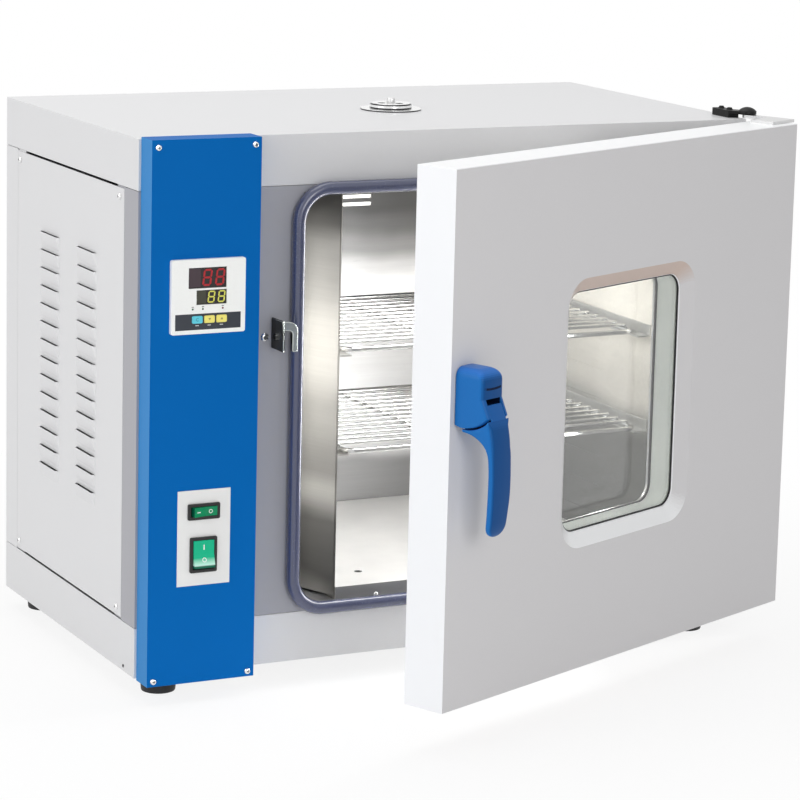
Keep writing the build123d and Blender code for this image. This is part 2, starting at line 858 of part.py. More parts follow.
# Fan: shaft, disc, hub and flat radial blades.
fan = rod_x(fan_r, fan_y, fan_z, fan_x0, fan_x0 + fan_disc_t)
fan += rod_x(fan_hub_r, fan_y, fan_z, fan_x0, fan_x1)
blade_r1 = fan_r - fan_blade_t
blade_r0 = blade_r1 - fan_blade_len
blade_half = fan_blade_t / 2
blade = block(fan_x0 + fan_disc_t, fan_x1, blade_r0, blade_r1, -blade_half, blade_half)
blades = [Pos(0, fan_y, fan_z) * Rot(360 / fan_blades * i, 0, 0) * blade for i in range(fan_blades)]
fan = fan + blades
fan += rod_x(shaft_r, fan_y, fan_z, motor_bore_end + over, fan_x1)
save("fan_impeller", fan)

# Temperature probe with its nut on the back wall.
probe = rod_y(probe_r, probe_x, probe_z, liner_back - probe_len, liner_out_y1 + probe_tail)
probe += rod_y(probe_nut_r, probe_x, probe_z, liner_back - probe_nut_t, liner_back)
save("temperature_probe", probe)

# Gasket: a tube flattened against the front plane, following the chamber's opening.
gasket_mid_w = gasket_x1 - gasket_x0 - 2 * gasket_r
gasket_mid_h = gasket_z1 - gasket_z0 - 2 * gasket_r
gasket_path = RectangleRounded(gasket_mid_w, gasket_mid_h, gasket_corner - gasket_r).wire()
gasket_start = Plane(origin=gasket_path @ 0, z_dir=gasket_path % 0)
tube = sweep(gasket_start.location * Circle(gasket_r), path=gasket_path)
gasket_mid_x = (gasket_x0 + gasket_x1) / 2
gasket_mid_z = (gasket_z0 + gasket_z1) / 2
gasket_mid_y = gasket_r - gasket_proud
gasket = Pos(gasket_mid_x, gasket_mid_y, gasket_mid_z) * Rot(90, 0, 0) * tube
gasket -= block(gasket_x0 - over, gasket_x1 + over, 0, gasket_r, gasket_z0 - over, gasket_z1 + over)
save("door_gasket", gasket)

# Control panel: a folded box with cut-outs for the controller and the switches.
ctl_front = -ctl_proud
ctl = block(ctl_x0, ctl_x1, ctl_front, 0, ctl_z0, ctl_z1)
ctl -= block(ctl_x0 + sheet, ctl_x1 - sheet, ctl_front + sheet, 1, ctl_z0 + sheet, ctl_z1 - sheet)
tc_body = (tc_x0 + tc_body_in, tc_x1 - tc_body_in, tc_z0 + tc_body_in, tc_z1 - tc_body_in)
ctl -= block(tc_body[0], tc_body[1], ctl_front - over, 0, tc_body[2], tc_body[3])


def switch_hole(x, z, size_x, size_z, y0, y1, inset):
    half_x = size_x / 2 - inset
    half_z = size_z / 2 - inset
    return block(x - half_x, x + half_x, y0, y1, z - half_z, z + half_z)


switches = (
    (heat_sw_x, heat_sw_z, heat_bezel_l, heat_bezel_w),
    (main_sw_x, main_sw_z, main_bezel_w, main_bezel_l),
)
plate_front = ctl_front - plate_t
for x, z, size_x, size_z in switches:
    ctl -= switch_hole(x, z, size_x, size_z, ctl_front - over, 0, rocker_body_in)
posts = []
ctl_screws = []
for x in ctl_screw_x:
    for z in ctl_screw_z:
        ctl -= rod_y(screw_shank_r + touch, x, z, ctl_front - over, 0)
        post = rod_y(ctl_post_r, x, z, ctl_front + sheet, 0)
        post -= rod_y(screw_shank_r + touch, x, z, ctl_front, ctl_front + 2 * screw_shank_l)
        posts.append(post)
        plain = screw(screw_head_r, screw_head_h, screw_shank_r, screw_shank_l)
        ctl_screws.append(facing(x, ctl_front, z, (0, -1, 0)) * plain)
save("control_panel", ctl)
save("panel_posts", Compound(posts))
save("panel_screws", Compound(side_screws + ctl_screws))

# Controller case: bezel, body through the panel, windows, key holes and lamp holes.
tc_front = ctl_front - tc_proud
case = slab_between(tc_x0, tc_x1, tc_z0, tc_z1, tc_corner, tc_front, ctl_front)
case_back = ctl_front + tc_body_depth
case += block(tc_body[0], tc_body[1], ctl_front, case_back, tc_body[2], tc_body[3])
hollow_x = (tc_body[0] + tc_wall, tc_body[1] - tc_wall)
hollow_z = (tc_body[2] + tc_wall, tc_body[3] - tc_wall)
case -= block(*hollow_x, ctl_front + tc_wall, case_back - tc_wall, *hollow_z)
vent_w = (hollow_x[1] - hollow_x[0]) / 2
vent_mid = (hollow_x[0] + hollow_x[1]) / 2
case -= block(vent_mid - vent_w / 2, vent_mid + vent_w / 2, 0, case_back + over, *hollow_z)
window_back = tc_front + tc_window_depth
windows = ((pv_x0, pv_x1, pv_z0, pv_z1), (sv_x0, sv_x1, sv_z0, sv_z1))
displays = []
for x0, x1, z0, z1 in windows:
    case -= block(x0, x1, tc_front - over, window_back, z0, z1)
    displays.append(block(x0, x1, window_back - display_t, window_back, z0, z1))
save("display_windows", Compound(displays))
strip_back = tc_front + strip_t
case -= block(strip_x0, strip_x1, tc_front - over, strip_back, strip_z0, strip_z1)
strip = block(strip_x0, strip_x1, tc_front, strip_back, strip_z0, strip_z1)
lamps = []
for x in lamp_x:
    case -= rod_y(lamp_r, x, lamp_z, tc_front - over, tc_front + lamp_depth)
    lamps.append(rod_y(lamp_r, x, lamp_z, tc_front, tc_front + lamp_depth))
key_back = tc_front + key_in
hole_back = key_back + key_travel + key_clear
hole_w = key_w + 2 * key_clear
hole_h = key_h + 2 * key_clear
hole_corner = key_corner + key_clear
for name, x in zip(key_names, key_x):
    hole = slab_y(hole_w, hole_h, hole_corner, x, key_z, tc_front - over, hole_back)
    case -= hole
    strip -= hole
    key = slab_y(key_w, key_h, key_corner, x, key_z, tc_front - key_proud, key_back)
    save(f"{name}_key", key)
save("controller_case", case)
save("key_strip", strip)
save("indicator_lamps", Compound(lamps))

# Switch plate.
switch_plate = block(plate_x0, plate_x1, plate_front, ctl_front, plate_z0, plate_z1)
for x, z, size_x, size_z in switches:
    switch_plate -= switch_hole(x, z, size_x, size_z, plate_front - over, 0, rocker_body_in)
save("switch_plate", switch_plate)


# Rocker switches: housing with a bezel, and a pad with a shallow valley on two pins.
def rocker_housing(length, width):
    """Built along X with the front facing -Y at y = 0."""
    shell = slab_y(length, width, bezel_corner, 0, 0, -bezel_t, 0)
    half_l = length / 2 - rocker_body_in
    half_w = width / 2 - rocker_body_in
    shell += block(-half_l, half_l, 0, rocker_body_depth, -half_w, half_w)
    pocket_l = half_l - rocker_wall
    pocket_w = half_w - rocker_wall
    depth = rocker_body_depth - rocker_wall
    shell -= block(-pocket_l, pocket_l, -bezel_t - over, depth, -pocket_w, pocket_w)
    pin = rocker_pin_r + run_fit
    y = rocker_pivot_in - bezel_t
    shell -= rod_z(pin, 0, y, -pocket_w - rocker_pin_l, pocket_w + rocker_pin_l)
    return shell


def rocker_pad(length, width, tilt):
    half_l = length / 2 - rocker_body_in - rocker_wall - rocker_swing
    half_w = width / 2 - rocker_body_in - rocker_wall - rocker_clear
    rise = half_l * sin(radians(rocker_tilt)) / cos(radians(rocker_tilt))
    face = [
        (-half_l, -rocker_rise - rise),
        (0, -rocker_rise),
        (half_l, -rocker_rise - rise),
        (half_l, rocker_skirt),
        (rocker_belly, rocker_belly),
        (-rocker_belly, rocker_belly),
        (-half_l, rocker_skirt),
    ]
    pad = prism_z(face, -half_w, half_w)
    reach = half_w + rocker_clear + rocker_pin_l - run_fit
    pad += rod_z(rocker_pin_r, 0, 0, -reach, reach)
    return Pos(0, rocker_pivot_in - bezel_t, 0) * Rot(0, 0, tilt) * pad


heat_place = Pos(heat_sw_x, plate_front, heat_sw_z)
main_place = Pos(main_sw_x, plate_front, main_sw_z) * Rot(0, 90, 0)
save("heating_switch_housing", heat_place * rocker_housing(heat_bezel_l, heat_bezel_w))
save("heating_switch_rocker", heat_place * rocker_pad(heat_bezel_l, heat_bezel_w, rocker_tilt))
save("power_switch_housing", main_place * rocker_housing(main_bezel_l, main_bezel_w))
save("power_switch_rocker", main_place * rocker_pad(main_bezel_l, main_bezel_w, -rocker_tilt))

# Keeper: a web welded to the front frame with a claw in front, slotted from below.
slot_x = door_x0 + rod_u
keeper_x0 = slot_x - keeper_left - keeper_slot_w / 2
keeper_x1 = keeper_x0 + keeper_w
keeper_z0 = lever_z - keeper_under
keeper_z1 = keeper_z0 + keeper_h
keeper_front = -keeper_out
keeper_back = keeper_front + keeper_t
claw = block(keeper_x0, keeper_x1, keeper_front, keeper_back, keeper_z0, keeper_z1)
corner_r = keeper_w - keeper_web_t
corner_x = keeper_x1 - corner_r
corner_z = keeper_z1 - corner_r
corner = block(corner_x, keeper_x1, keeper_front, keeper_back, corner_z, keeper_z1)
corner -= rod_y(corner_r, corner_x, corner_z, keeper_front - over, keeper_back + over)
claw -= corner
slot_half = keeper_slot_w / 2
slot_top = keeper_z0 + keeper_slot_h - slot_half
slot_range = (slot_x - slot_half, slot_x + slot_half)
claw -= block(*slot_range, keeper_front - over, keeper_back + over, keeper_z0 - over, slot_top)
claw -= rod_y(slot_half, slot_x, slot_top, keeper_front - over, keeper_back + over)
web = block(keeper_x0, keeper_x0 + keeper_web_t, keeper_front, 0, keeper_z0, keeper_z1)
save("latch_keeper", claw + web)
keeper_screw = screw(keeper_head_r, screw_head_h, screw_shank_r, screw_shank_l)
save("keeper_screw", facing(keeper_screw_x, 0, keeper_screw_z, (0, -1, 0)) * keeper_screw)

# Vent: flanged pipe with a ported plate, a ported cap turning on its pin, and the knob.
vent_z = body_h + vent_flange_t
vent_base = rod_z(vent_flange_r, vent_x, vent_y, body_h, vent_z)
vent_base += rod_z(vent_pipe_r, vent_x, vent_y, liner_z1, body_h)
vent_base -= rod_z(vent_pipe_r - vent_pipe_t, vent_x, vent_y, liner_z1 - over, body_h)
cap_z0 = vent_z + vent_lift
cap_z1 = cap_z0 + vent_cap_h
cap_edge = vent_cap_r - vent_cap_edge
cap = rod_z(vent_cap_r, vent_x, vent_y, cap_z0, cap_z1 - vent_cap_edge)
cap += Pos(vent_x, vent_y, cap_z1 - vent_cap_edge / 2) * Cone(vent_cap_r, cap_edge, vent_cap_edge)
for i in range(3):
    hole = Rot(0, 0, 120 * i) * Pos(vent_port_ring, 0, 0) * Cylinder(vent_port_r, 4 * vent_cap_h)
    turned = Rot(0, 0, 60) * hole
    vent_base -= Pos(vent_x, vent_y, vent_z) * hole
    cap -= Pos(vent_x, vent_y, cap_z0) * turned
pin_z1 = cap_z1 + vent_knob_h / 2
vent_base += rod_z(vent_pin_r, vent_x, vent_y, vent_z, pin_z1)
cap -= rod_z(vent_pin_r + run_fit, vent_x, vent_y, cap_z0 - over, cap_z1 + over)
knob = rod_z(vent_knob_r, vent_x, vent_y, cap_z1, cap_z1 + vent_knob_h)
knob -= rod_z(vent_pin_r + run_fit, vent_x, vent_y, cap_z1 - over, pin_z1 + vent_lift)
save("vent_base", vent_base)
save("vent_cap", cap)
save("vent_knob", knob)

# Hinge arm on the top cover: pad, arm over the strap, domed knuckle, pin and screws.
strap_z1 = door_z1 + strap_t
arm_z0 = body_h + arm_pad_t
arm_z1 = arm_z0 + arm_t
arm = block(arm_x0, body_w, arm_y0, arm_y1, body_h, arm_z1)
arm_tip = [
    (arm_x0, arm_y0),
    (pivot_x - knuckle_r, pivot_y),
    (pivot_x, pivot_y),
    (pivot_x + knuckle_r, pivot_y),
    (body_w, arm_y0 + knuckle_r),
    (body_w, arm_y1),
    (arm_x0, arm_y1),
]
arm += prism_z(arm_tip, arm_z0, arm_z1)
arm += rod_z(knuckle_r, pivot_x, pivot_y, arm_z0, arm_z1)
dome = Sphere((knuckle_r**2 + dome_h**2) / (2 * dome_h))
dome_down = (knuckle_r**2 + dome_h**2) / (2 * dome_h) - dome_h
dome = Pos(pivot_x, pivot_y, arm_z1 - dome_down) * dome
above = block(arm_x0, body_w + body_w, -body_w, body_w, arm_z1, body_h + body_w)
arm += dome & above
arm -= rod_z(hinge_pin_r, pivot_x, pivot_y, arm_z0 - over, arm_z1)
arm_screws = []
arm_shank = arm_z1 - body_h + screw_shank_l
for y in arm_screw_y:
    arm -= rod_z(screw_shank_r + touch, arm_screw_x, y, body_h - over, arm_z1 + over)
    bolt = screw(screw_head_r, screw_head_h, screw_shank_r, arm_shank)
    arm_screws.append(Pos(arm_screw_x, y, arm_z1) * bolt)
save("hinge_arm", arm)

# Lower hinge bracket on the right side: leaf, ear under the strap, pin and screws.
leaf_x1 = body_w + leaf_t
bracket = block(body_w, leaf_x1, leaf_y0, leaf_y1, ear_z0, leaf_z1)
ear = rod_z(knuckle_r, pivot_x, pivot_y, ear_z0, ear_z1)
ear += block(body_w, pivot_x + knuckle_r, pivot_y, leaf_y0 + knuckle_r, ear_z0, ear_z1)
ear_x0 = body_w + ear_clear
ear &= block(ear_x0, body_w * 2, -knuckle_r - body_w, leaf_y1, ear_z0, ear_z1)
bracket += ear
bracket -= rod_z(hinge_pin_r, pivot_x, pivot_y, ear_z0 - over, ear_z1 + over)
bracket_screws = []
leaf_shank = leaf_t + screw_shank_l
for y in leaf_screw_y:
    bracket -= rod_x(screw_shank_r + touch, y, leaf_screw_z, body_w - over, leaf_x1 + over)
    bolt = screw(screw_head_r, screw_head_h, screw_shank_r, leaf_shank)
    bracket_screws.append(facing(leaf_x1, y, leaf_screw_z, (1, 0, 0)) * bolt)
save("hinge_bracket", bracket)
save("hinge_screws", Compound(arm_screws + bracket_screws))
top_pin = rod_z(hinge_pin_r, pivot_x, pivot_y, door_z1, arm_z1)
lower_pin = rod_z(hinge_pin_r, pivot_x, pivot_y, ear_z0, door_z0)
save("hinge_pins", Compound([top_pin, lower_pin]))

# Power inlet: rimmed socket with three blades.
rear_face = body_d
inlet = slab_y(
    inlet_w + 2 * inlet_rim,
    inlet_h + 2 * inlet_rim,
    inlet_corner,
    inlet_x,
    inlet_z,
    rear_face,
    rear_face + inlet_rim_t,
)
inlet_y0 = rear_face - inlet_depth
hole_w = inlet_w - 2 * touch
hole_h = inlet_h - 2 * touch
inlet += slab_y(hole_w, hole_h, inlet_corner, inlet_x, inlet_z, inlet_y0, rear_face)
hole_w = inlet_w - 2 * inlet_wall
hole_h = inlet_h - 2 * inlet_wall
floor_y = inlet_y0 + inlet_wall
socket_y1 = rear_face + inlet_rim_t + over
inlet -= slab_y(hole_w, hole_h, inlet_corner / 2, inlet_x, inlet_z, floor_y, socket_y1)
for i in (-1, 0, 1):
    x = inlet_x + i * inlet_pin_apart
    z = inlet_z + (inlet_pin_t if i == 0 else -inlet_pin_t)
    blade_x = (x - inlet_pin_t / 2, x + inlet_pin_t / 2)
    blade_z = (z - inlet_pin_w / 2, z + inlet_pin_w / 2)
    inlet += block(*blade_x, floor_y - touch, floor_y + inlet_pin_l, *blade_z)
save("power_inlet", inlet)

# Door pan: front with the dished window recess, four edges and an inturned rear lip.
door_mid_x = (door_x0 + door_x1) / 2
door_mid_z = (door_z0 + door_z1) / 2
pan = block(door_x0, door_x1, door_front, door_rear, door_z0, door_z1)
pan_in_x = (door_x0 + sheet, door_x1 - sheet)
pan_in_z = (door_z0 + sheet, door_z1 - sheet)
lip_front = door_rear - sheet
pan -= block(*pan_in_x, door_front + sheet, lip_front, *pan_in_z)
lip_x = (door_x0 + pan_lip, door_x1 - pan_lip)
lip_z = (door_z0 + pan_lip, door_z1 - pan_lip)
pan -= block(*lip_x, lip_front - over, door_rear + over, *lip_z)


def dish(grow, y0, y1):
    """Recess wall as a loft from the front outline down to the glass outline."""
    face = Plane(origin=(door_mid_x, y0, door_mid_z), x_dir=(1, 0, 0), z_dir=(0, 1, 0))
    deep = Plane(origin=(door_mid_x, y1, door_mid_z), x_dir=(1, 0, 0), z_dir=(0, 1, 0))
    wide = RectangleRounded(recess_w + 2 * grow, recess_h + 2 * grow, recess_r + grow)
    narrow = RectangleRounded(glass_w + 2 * grow, glass_h + 2 * grow, glass_r + grow)
    return loft([face.location * wide, deep.location * narrow])


recess_back = door_front + recess_depth
pan += dish(sheet, door_front, recess_back)
rim_w = glass_w + 2 * glass_lap
rim_h = glass_h + 2 * glass_lap
rim_r = glass_r + glass_lap
rim_back = recess_back + sheet
pan += slab_y(rim_w, rim_h, rim_r, door_mid_x, door_mid_z, recess_back, rim_back)
pan -= slab_y(glass_w, glass_h, glass_r, door_mid_x, door_mid_z, recess_back - over, rim_back + over)
pan -= dish(0, door_front, recess_back)
rod_x_mid = door_x0 + rod_u
rod_half = rod_slot_w / 2
rod_x_range = (rod_x_mid - rod_half, rod_x_mid + rod_half)
rod_z_range = (lever_z - rod_slot_below, lever_z + rod_slot_above)
rod_hole = block(*rod_x_range, door_front - over, door_rear + over, *rod_z_range)
pan -= rod_hole
save("door_pan", opened(pan))

# Window stack: seals, two panes and the spacer tube between them.
seal_front = rim_back
pane_front = seal_front + seal_t
pane_back = pane_front + glass_t
rear_pane = door_front + rear_glass_at
rear_pane_back = rear_pane + glass_t


def ring_y(w, h, r, wall, y0, y1):
    outer = slab_y(w, h, r, door_mid_x, door_mid_z, y0, y1)
    inner_r = max(r - wall, 1)
    inner_w = w - 2 * wall
    inner_h = h - 2 * wall
    return outer - slab_y(inner_w, inner_h, inner_r, door_mid_x, door_mid_z, y0 - over, y1 + over)


seal_wall = glass_lap + seal_in
seal_a = ring_y(rim_w, rim_h, rim_r, seal_wall, seal_front, pane_front)
pane = slab_y(rim_w, rim_h, rim_r, door_mid_x, door_mid_z, pane_front, pane_back)
save("front_glass", opened(pane))
tube_w = glass_w + 2 * spacer_t
tube_h = glass_h + 2 * spacer_t
tube_r = glass_r + spacer_t
spacer = ring_y(tube_w, tube_h, tube_r, spacer_t, pane_back, rear_pane - seal_t)
save("window_spacer", opened(spacer))
seal_b = ring_y(rim_w, rim_h, rim_r, seal_wall, rear_pane - seal_t, rear_pane)
save("window_seals", opened(Compound([seal_a, seal_b])))
pane = slab_y(rim_w, rim_h, rim_r, door_mid_x, door_mid_z, rear_pane, rear_pane_back)
save("rear_glass", opened(pane))

# Door inner panel: inside the pan's lip, open at the window, with the latch pocket.
inner_front = lip_front - sheet
panel_x = (pan_in_x[0] + touch, pan_in_x[1] - touch)
panel_z = (pan_in_z[0] + touch, pan_in_z[1] - touch)
inner = block(*panel_x, inner_front, lip_front, *panel_z)
raised_x = (lip_x[0] + touch, lip_x[1] - touch)
raised_z = (lip_z[0] + touch, lip_z[1] - touch)
inner += block(*raised_x, lip_front, door_rear, *raised_z)
inner += ring_y(rim_w, rim_h, rim_r, glass_lap - seal_in, rear_pane_back, inner_front)
inner -= slab_y(glass_w, glass_h, glass_r, door_mid_x, door_mid_z, rear_pane_back - over, door_rear + over)
pocket_x0 = keeper_x0 - pocket_side
pocket_x1 = keeper_x1 + pocket_side
pocket_z0 = keeper_z0 - pocket_below
pocket_z1 = keeper_z1 + pocket_above
pocket_front = door_rear - pocket_depth
pocket_wall_x = (pocket_x0 - sheet, pocket_x1 + sheet)
pocket_wall_z = (pocket_z0 - sheet, pocket_z1 + sheet)
inner += block(*pocket_wall_x, pocket_front - sheet, inner_front, *pocket_wall_z)
inner -= block(pocket_x0, pocket_x1, pocket_front, door_rear + over, pocket_z0, pocket_z1)
inner -= rod_hole
save("door_inner_panel", opened(inner))

# Door insulation, cleared for the window, the latch pocket and the rod.
fill_x = (pan_in_x[0] + touch, pan_in_x[1] - touch)
fill_z = (pan_in_z[0] + touch, pan_in_z[1] - touch)
fill = block(*fill_x, door_front + sheet, inner_front, *fill_z)
hole_w = recess_w + 2 * sheet + 2 * touch
hole_h = recess_h + 2 * sheet + 2 * touch
hole_r = recess_r + sheet
fill -= slab_y(hole_w, hole_h, hole_r, door_mid_x, door_mid_z, door_front, door_rear)
pocket_wall_front = pocket_front - sheet
fill -= block(*pocket_wall_x, pocket_wall_front, door_rear, *pocket_wall_z)
fill -= rod_hole
save("door_insulation", opened(fill))

# Handle base: a domed block over the lever's hub, its underside an arc about the pivot.
lever_y = door_front - lever_out
base_front = door_front - base_proud
base_x0 = door_x0 + base_u0
base_x1 = base_x0 + base_w
base_z1 = lever_z + base_top
base_low = lever_z - base_arc_r
profile = [
    (door_front, base_low),
    (door_front, base_z1),
    (base_front + base_round, base_z1),
    (base_front, base_z1 - base_round),
    (base_front, base_low),
]
base = prism_x(profile, base_x0, base_x1)
base += rod_x(base_round, base_front + base_round, base_z1 - base_round, base_x0, base_x1)
disc = rod_x(base_arc_r, lever_y, lever_z, base_x0 - over, base_x1 + over)
upper = block(base_x0 - over, base_x1 + over, base_front - over, door_front, lever_z, base_z1 + over)
base &= disc + upper
base = fillet(base.edges().filter_by(Axis.Z).group_by(Axis.Y)[0], base_edge_r)
cavity_x = (base_x0 + cheek_t, base_x1 - cheek_t)
cavity_z1 = base_z1 - base_cap_t
cavity_y0 = base_front + base_front_t
cavity_corner = base_round - base_front_t
cavity = [
    (door_front + over, base_low - over),
    (door_front + over, cavity_z1),
    (cavity_y0 + cavity_corner, cavity_z1),
    (cavity_y0, cavity_z1 - cavity_corner),
    (cavity_y0, base_low - over),
]
base -= prism_x(cavity, *cavity_x)
wall_z = lever_z - front_wall_low
base -= block(*cavity_x, base_front - over, cavity_y0 + over, base_low - over, wall_z)
groove_low = wall_z + groove_h
groove_top = groove_low + groove_h
groove_back = base_front + groove_d
base -= block(base_x0 - over, base_x1 + over, base_front - over, groove_back, groove_low, groove_top)
base -= rod_x(lever_pin_r, lever_y, lever_z, base_x0 - over, base_x1 + over)
save("handle_base", opened(base))
save("handle_pin", opened(rod_x(lever_pin_r, lever_y, lever_z, base_x0, base_x1)))


# Handle lever: its front flush with the base, bowed out to the grip and rounded at the tip.
def off_door(out, drop):
    return (door_front - out, lever_z - drop)


hub_back = off_door(lever_out - hub_r, 0)
root = off_door(lever_root_out, lever_root_drop)
tip = off_door(lever_tip_out, lever_tip_drop)
tip_mid = off_door(lever_tip_out + lever_tip_t / 2, lever_tip_drop + lever_tip_round)
tip_front = off_door(lever_tip_out + lever_tip_t, lever_tip_drop)
front_top = off_door(base_proud, front_wall_low + lever_front_gap)
front_low = off_door(base_proud, base_arc_r / 2)
inner_curve = Spline(
    root,
    off_door(lever_bend_out, lever_bend_drop),
    off_door(lever_palm_out, lever_palm_drop),
    off_door(lever_waist_out, lever_waist_drop),
    tip,
)
tip_curve = ThreePointArc(tip, tip_mid, tip_front)
outer_curve = Spline(
    tip_front,
    off_door(lever_grip_out, lever_grip_drop),
    off_door(lever_bow_out, lever_bow_drop),
    off_door(lever_crown_out, lever_crown_drop),
    front_low,
)
neck = Polyline(front_low, front_top, off_door(lever_out, front_wall_low + lever_front_gap), hub_back, root)
outline = Wire([*inner_curve.edges(), *tip_curve.edges(), *outer_curve.edges(), *neck.edges()])
lever_x = (cavity_x[0] + lever_side_clear, cavity_x[1] - lever_side_clear)
side = Plane(origin=(lever_x[0], 0, 0), x_dir=(0, 1, 0), z_dir=(1, 0, 0))
lever = side.location * extrude(make_face(outline), lever_x[1] - lever_x[0], dir=(0, 0, 1))
grip_edges = lever.edges().filter_by(lambda e: e.center().Z < lever_z - base_arc_r and e.length > lever_tip_t)
lever = fillet(grip_edges, lever_edge_r)
lever += rod_x(hub_r, lever_y, lever_z, *lever_x)
mark_x = (base_x0 + base_x1) / 2
mark_z = lever_z - mark_drop
lever -= slab_y(mark_w, mark_h, groove_d, mark_x, mark_z, base_front - over, base_front + mark_d)
lever -= rod_x(lever_pin_r + run_fit, lever_y, lever_z, lever_x[0] - over, lever_x[1] + over)
save("handle_lever", opened(lever))

# Latch rod from the hub through the door, its head hooking behind the keeper.
rod = rod_z(rod_r, 0, 0, hub_r - over, rod_reach + over)
rod += rod_z(head_r, 0, 0, rod_reach, rod_reach + head_t)
rod = Pos(rod_x_mid, lever_y, lever_z) * Rot(-90 - rod_down, 0, 0) * rod
rod -= lever
save("latch_rod", opened(rod))


# Hinge straps under and over the door, with a straight neck to the eye.
def strap(z0, z1):
    neck_x = (pivot_x - strap_eye_r, pivot_x + strap_eye_r)
    shape = block(strap_x0, neck_x[1], strap_y0, strap_y1, z0, z1)
    shape += block(*neck_x, strap_y0, pivot_y, z0, z1)
    shape += rod_z(strap_eye_r, pivot_x, pivot_y, z0, z1)
    return shape - rod_z(hinge_pin_r + run_fit, pivot_x, pivot_y, z0 - over, z1 + over)


straps = [strap(door_z1, strap_z1), strap(door_z0 - strap_t, door_z0)]
save("hinge_straps", opened(Compound(straps)))
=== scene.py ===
import bmesh
import bpy
import math
from mathutils import Matrix, Vector
from mathutils.bvhtree import BVHTree


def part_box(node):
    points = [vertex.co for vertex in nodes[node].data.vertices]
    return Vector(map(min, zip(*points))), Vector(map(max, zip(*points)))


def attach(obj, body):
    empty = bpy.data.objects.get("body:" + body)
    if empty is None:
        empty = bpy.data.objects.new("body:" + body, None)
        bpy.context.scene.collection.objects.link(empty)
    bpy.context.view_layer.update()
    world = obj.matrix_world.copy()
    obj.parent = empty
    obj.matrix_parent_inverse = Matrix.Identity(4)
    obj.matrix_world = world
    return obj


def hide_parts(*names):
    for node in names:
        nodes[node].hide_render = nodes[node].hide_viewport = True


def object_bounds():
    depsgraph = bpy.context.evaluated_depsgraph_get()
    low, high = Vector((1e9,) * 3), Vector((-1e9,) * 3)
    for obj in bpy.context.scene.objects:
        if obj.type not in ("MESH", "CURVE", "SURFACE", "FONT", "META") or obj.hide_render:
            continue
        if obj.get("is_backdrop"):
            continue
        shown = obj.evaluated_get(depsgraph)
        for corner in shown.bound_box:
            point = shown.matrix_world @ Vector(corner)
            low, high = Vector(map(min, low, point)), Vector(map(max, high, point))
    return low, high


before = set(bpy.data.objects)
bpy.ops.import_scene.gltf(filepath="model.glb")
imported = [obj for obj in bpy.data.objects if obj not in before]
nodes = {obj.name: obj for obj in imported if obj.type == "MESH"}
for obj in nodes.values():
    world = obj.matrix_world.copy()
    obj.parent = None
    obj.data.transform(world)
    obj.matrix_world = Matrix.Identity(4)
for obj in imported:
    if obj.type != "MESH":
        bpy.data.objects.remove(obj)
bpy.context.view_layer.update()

# Camera, standing to the left of the oven and a little above its top.
# The sensor shift is the one that the photograph's framing needs.
yaw, pitch, roll = 0.4751, 0.1773, 0.0268
ahead = Vector((math.sin(yaw) * math.cos(pitch), math.cos(yaw) * math.cos(pitch), -math.sin(pitch)))
level = Vector((math.cos(yaw), -math.sin(yaw), 0))
upright = level.cross(ahead)
camera_right = level * math.cos(roll) + upright * math.sin(roll)
camera_up = upright * math.cos(roll) - level * math.sin(roll)
lens = bpy.data.cameras.new("camera")
lens.sensor_width = 36
lens.lens = 141.9
lens.shift_x = -0.05
lens.shift_y = -0.10
lens.clip_start = 0.05
lens.clip_end = 50
camera = bpy.data.objects.new("camera", lens)
turn = Matrix((camera_right, camera_up, -ahead)).transposed().to_4x4()
camera.matrix_world = Matrix.Translation((-1.071, -2.637, 0.865)) @ turn
bpy.context.scene.collection.objects.link(camera)
bpy.context.scene.camera = camera


# Floor: a pale sheet the oven stands on. It shows white to the camera and
# in reflections, keeps the soft shadow near the oven and fades out around it.
def new_material(name):
    """An empty material, its nodes and its links."""
    material = bpy.data.materials.new(name)
    material.use_nodes = True
    material.node_tree.nodes.clear()
    return material, material.node_tree.nodes, material.node_tree.links


def seen_directly(tree_nodes, links):
    """1 where a camera, glossy or transmission ray arrives, else 0."""
    path = tree_nodes.new("ShaderNodeLightPath")
    total = None
    for name in ("Is Camera Ray", "Is Glossy Ray", "Is Transmission Ray"):
        if total is None:
            total = path.outputs[name]
            continue
        either = tree_nodes.new("ShaderNodeMath")
        either.operation = "MAXIMUM"
        links.new(total, either.inputs[0])
        links.new(path.outputs[name], either.inputs[1])
        total = either.outputs[0]
    return total


floor_mesh = bpy.data.meshes.new("floor")
side = 6.0
floor_corners = [(-side, -side, 0), (side, -side, 0), (side, side, 0), (-side, side, 0)]
floor_mesh.from_pydata(floor_corners, [], [(0, 1, 2, 3)])
floor = bpy.data.objects.new("floor", floor_mesh)
bpy.context.scene.collection.objects.link(floor)
pale, tree, link = new_material("pale floor")
matt = tree.new("ShaderNodeBsdfDiffuse")
matt.inputs["Color"].default_value = (0.9, 0.9, 0.9, 1)
glow = tree.new("ShaderNodeEmission")
glow.inputs["Strength"].default_value = 1.0
spot_on_floor = tree.new("ShaderNodeTexCoord")
away = tree.new("ShaderNodeVectorMath")
away.operation = "DISTANCE"
away.inputs[1].default_value = (0.28, 0.1, 0)
fade = tree.new("ShaderNodeMapRange")
fade.inputs["From Min"].default_value = 0.35
fade.inputs["From Max"].default_value = 0.9
fade.inputs["To Min"].default_value = 0.86
fade.inputs["To Max"].default_value = 1.0
share = tree.new("ShaderNodeMath")
share.operation = "MULTIPLY"
mix = tree.new("ShaderNodeMixShader")
out = tree.new("ShaderNodeOutputMaterial")
link.new(spot_on_floor.outputs["Object"], away.inputs[0])
link.new(away.outputs["Value"], fade.inputs["Value"])
link.new(seen_directly(tree, link), share.inputs[0])
link.new(fade.outputs[0], share.inputs[1])
link.new(share.outputs[0], mix.inputs["Fac"])
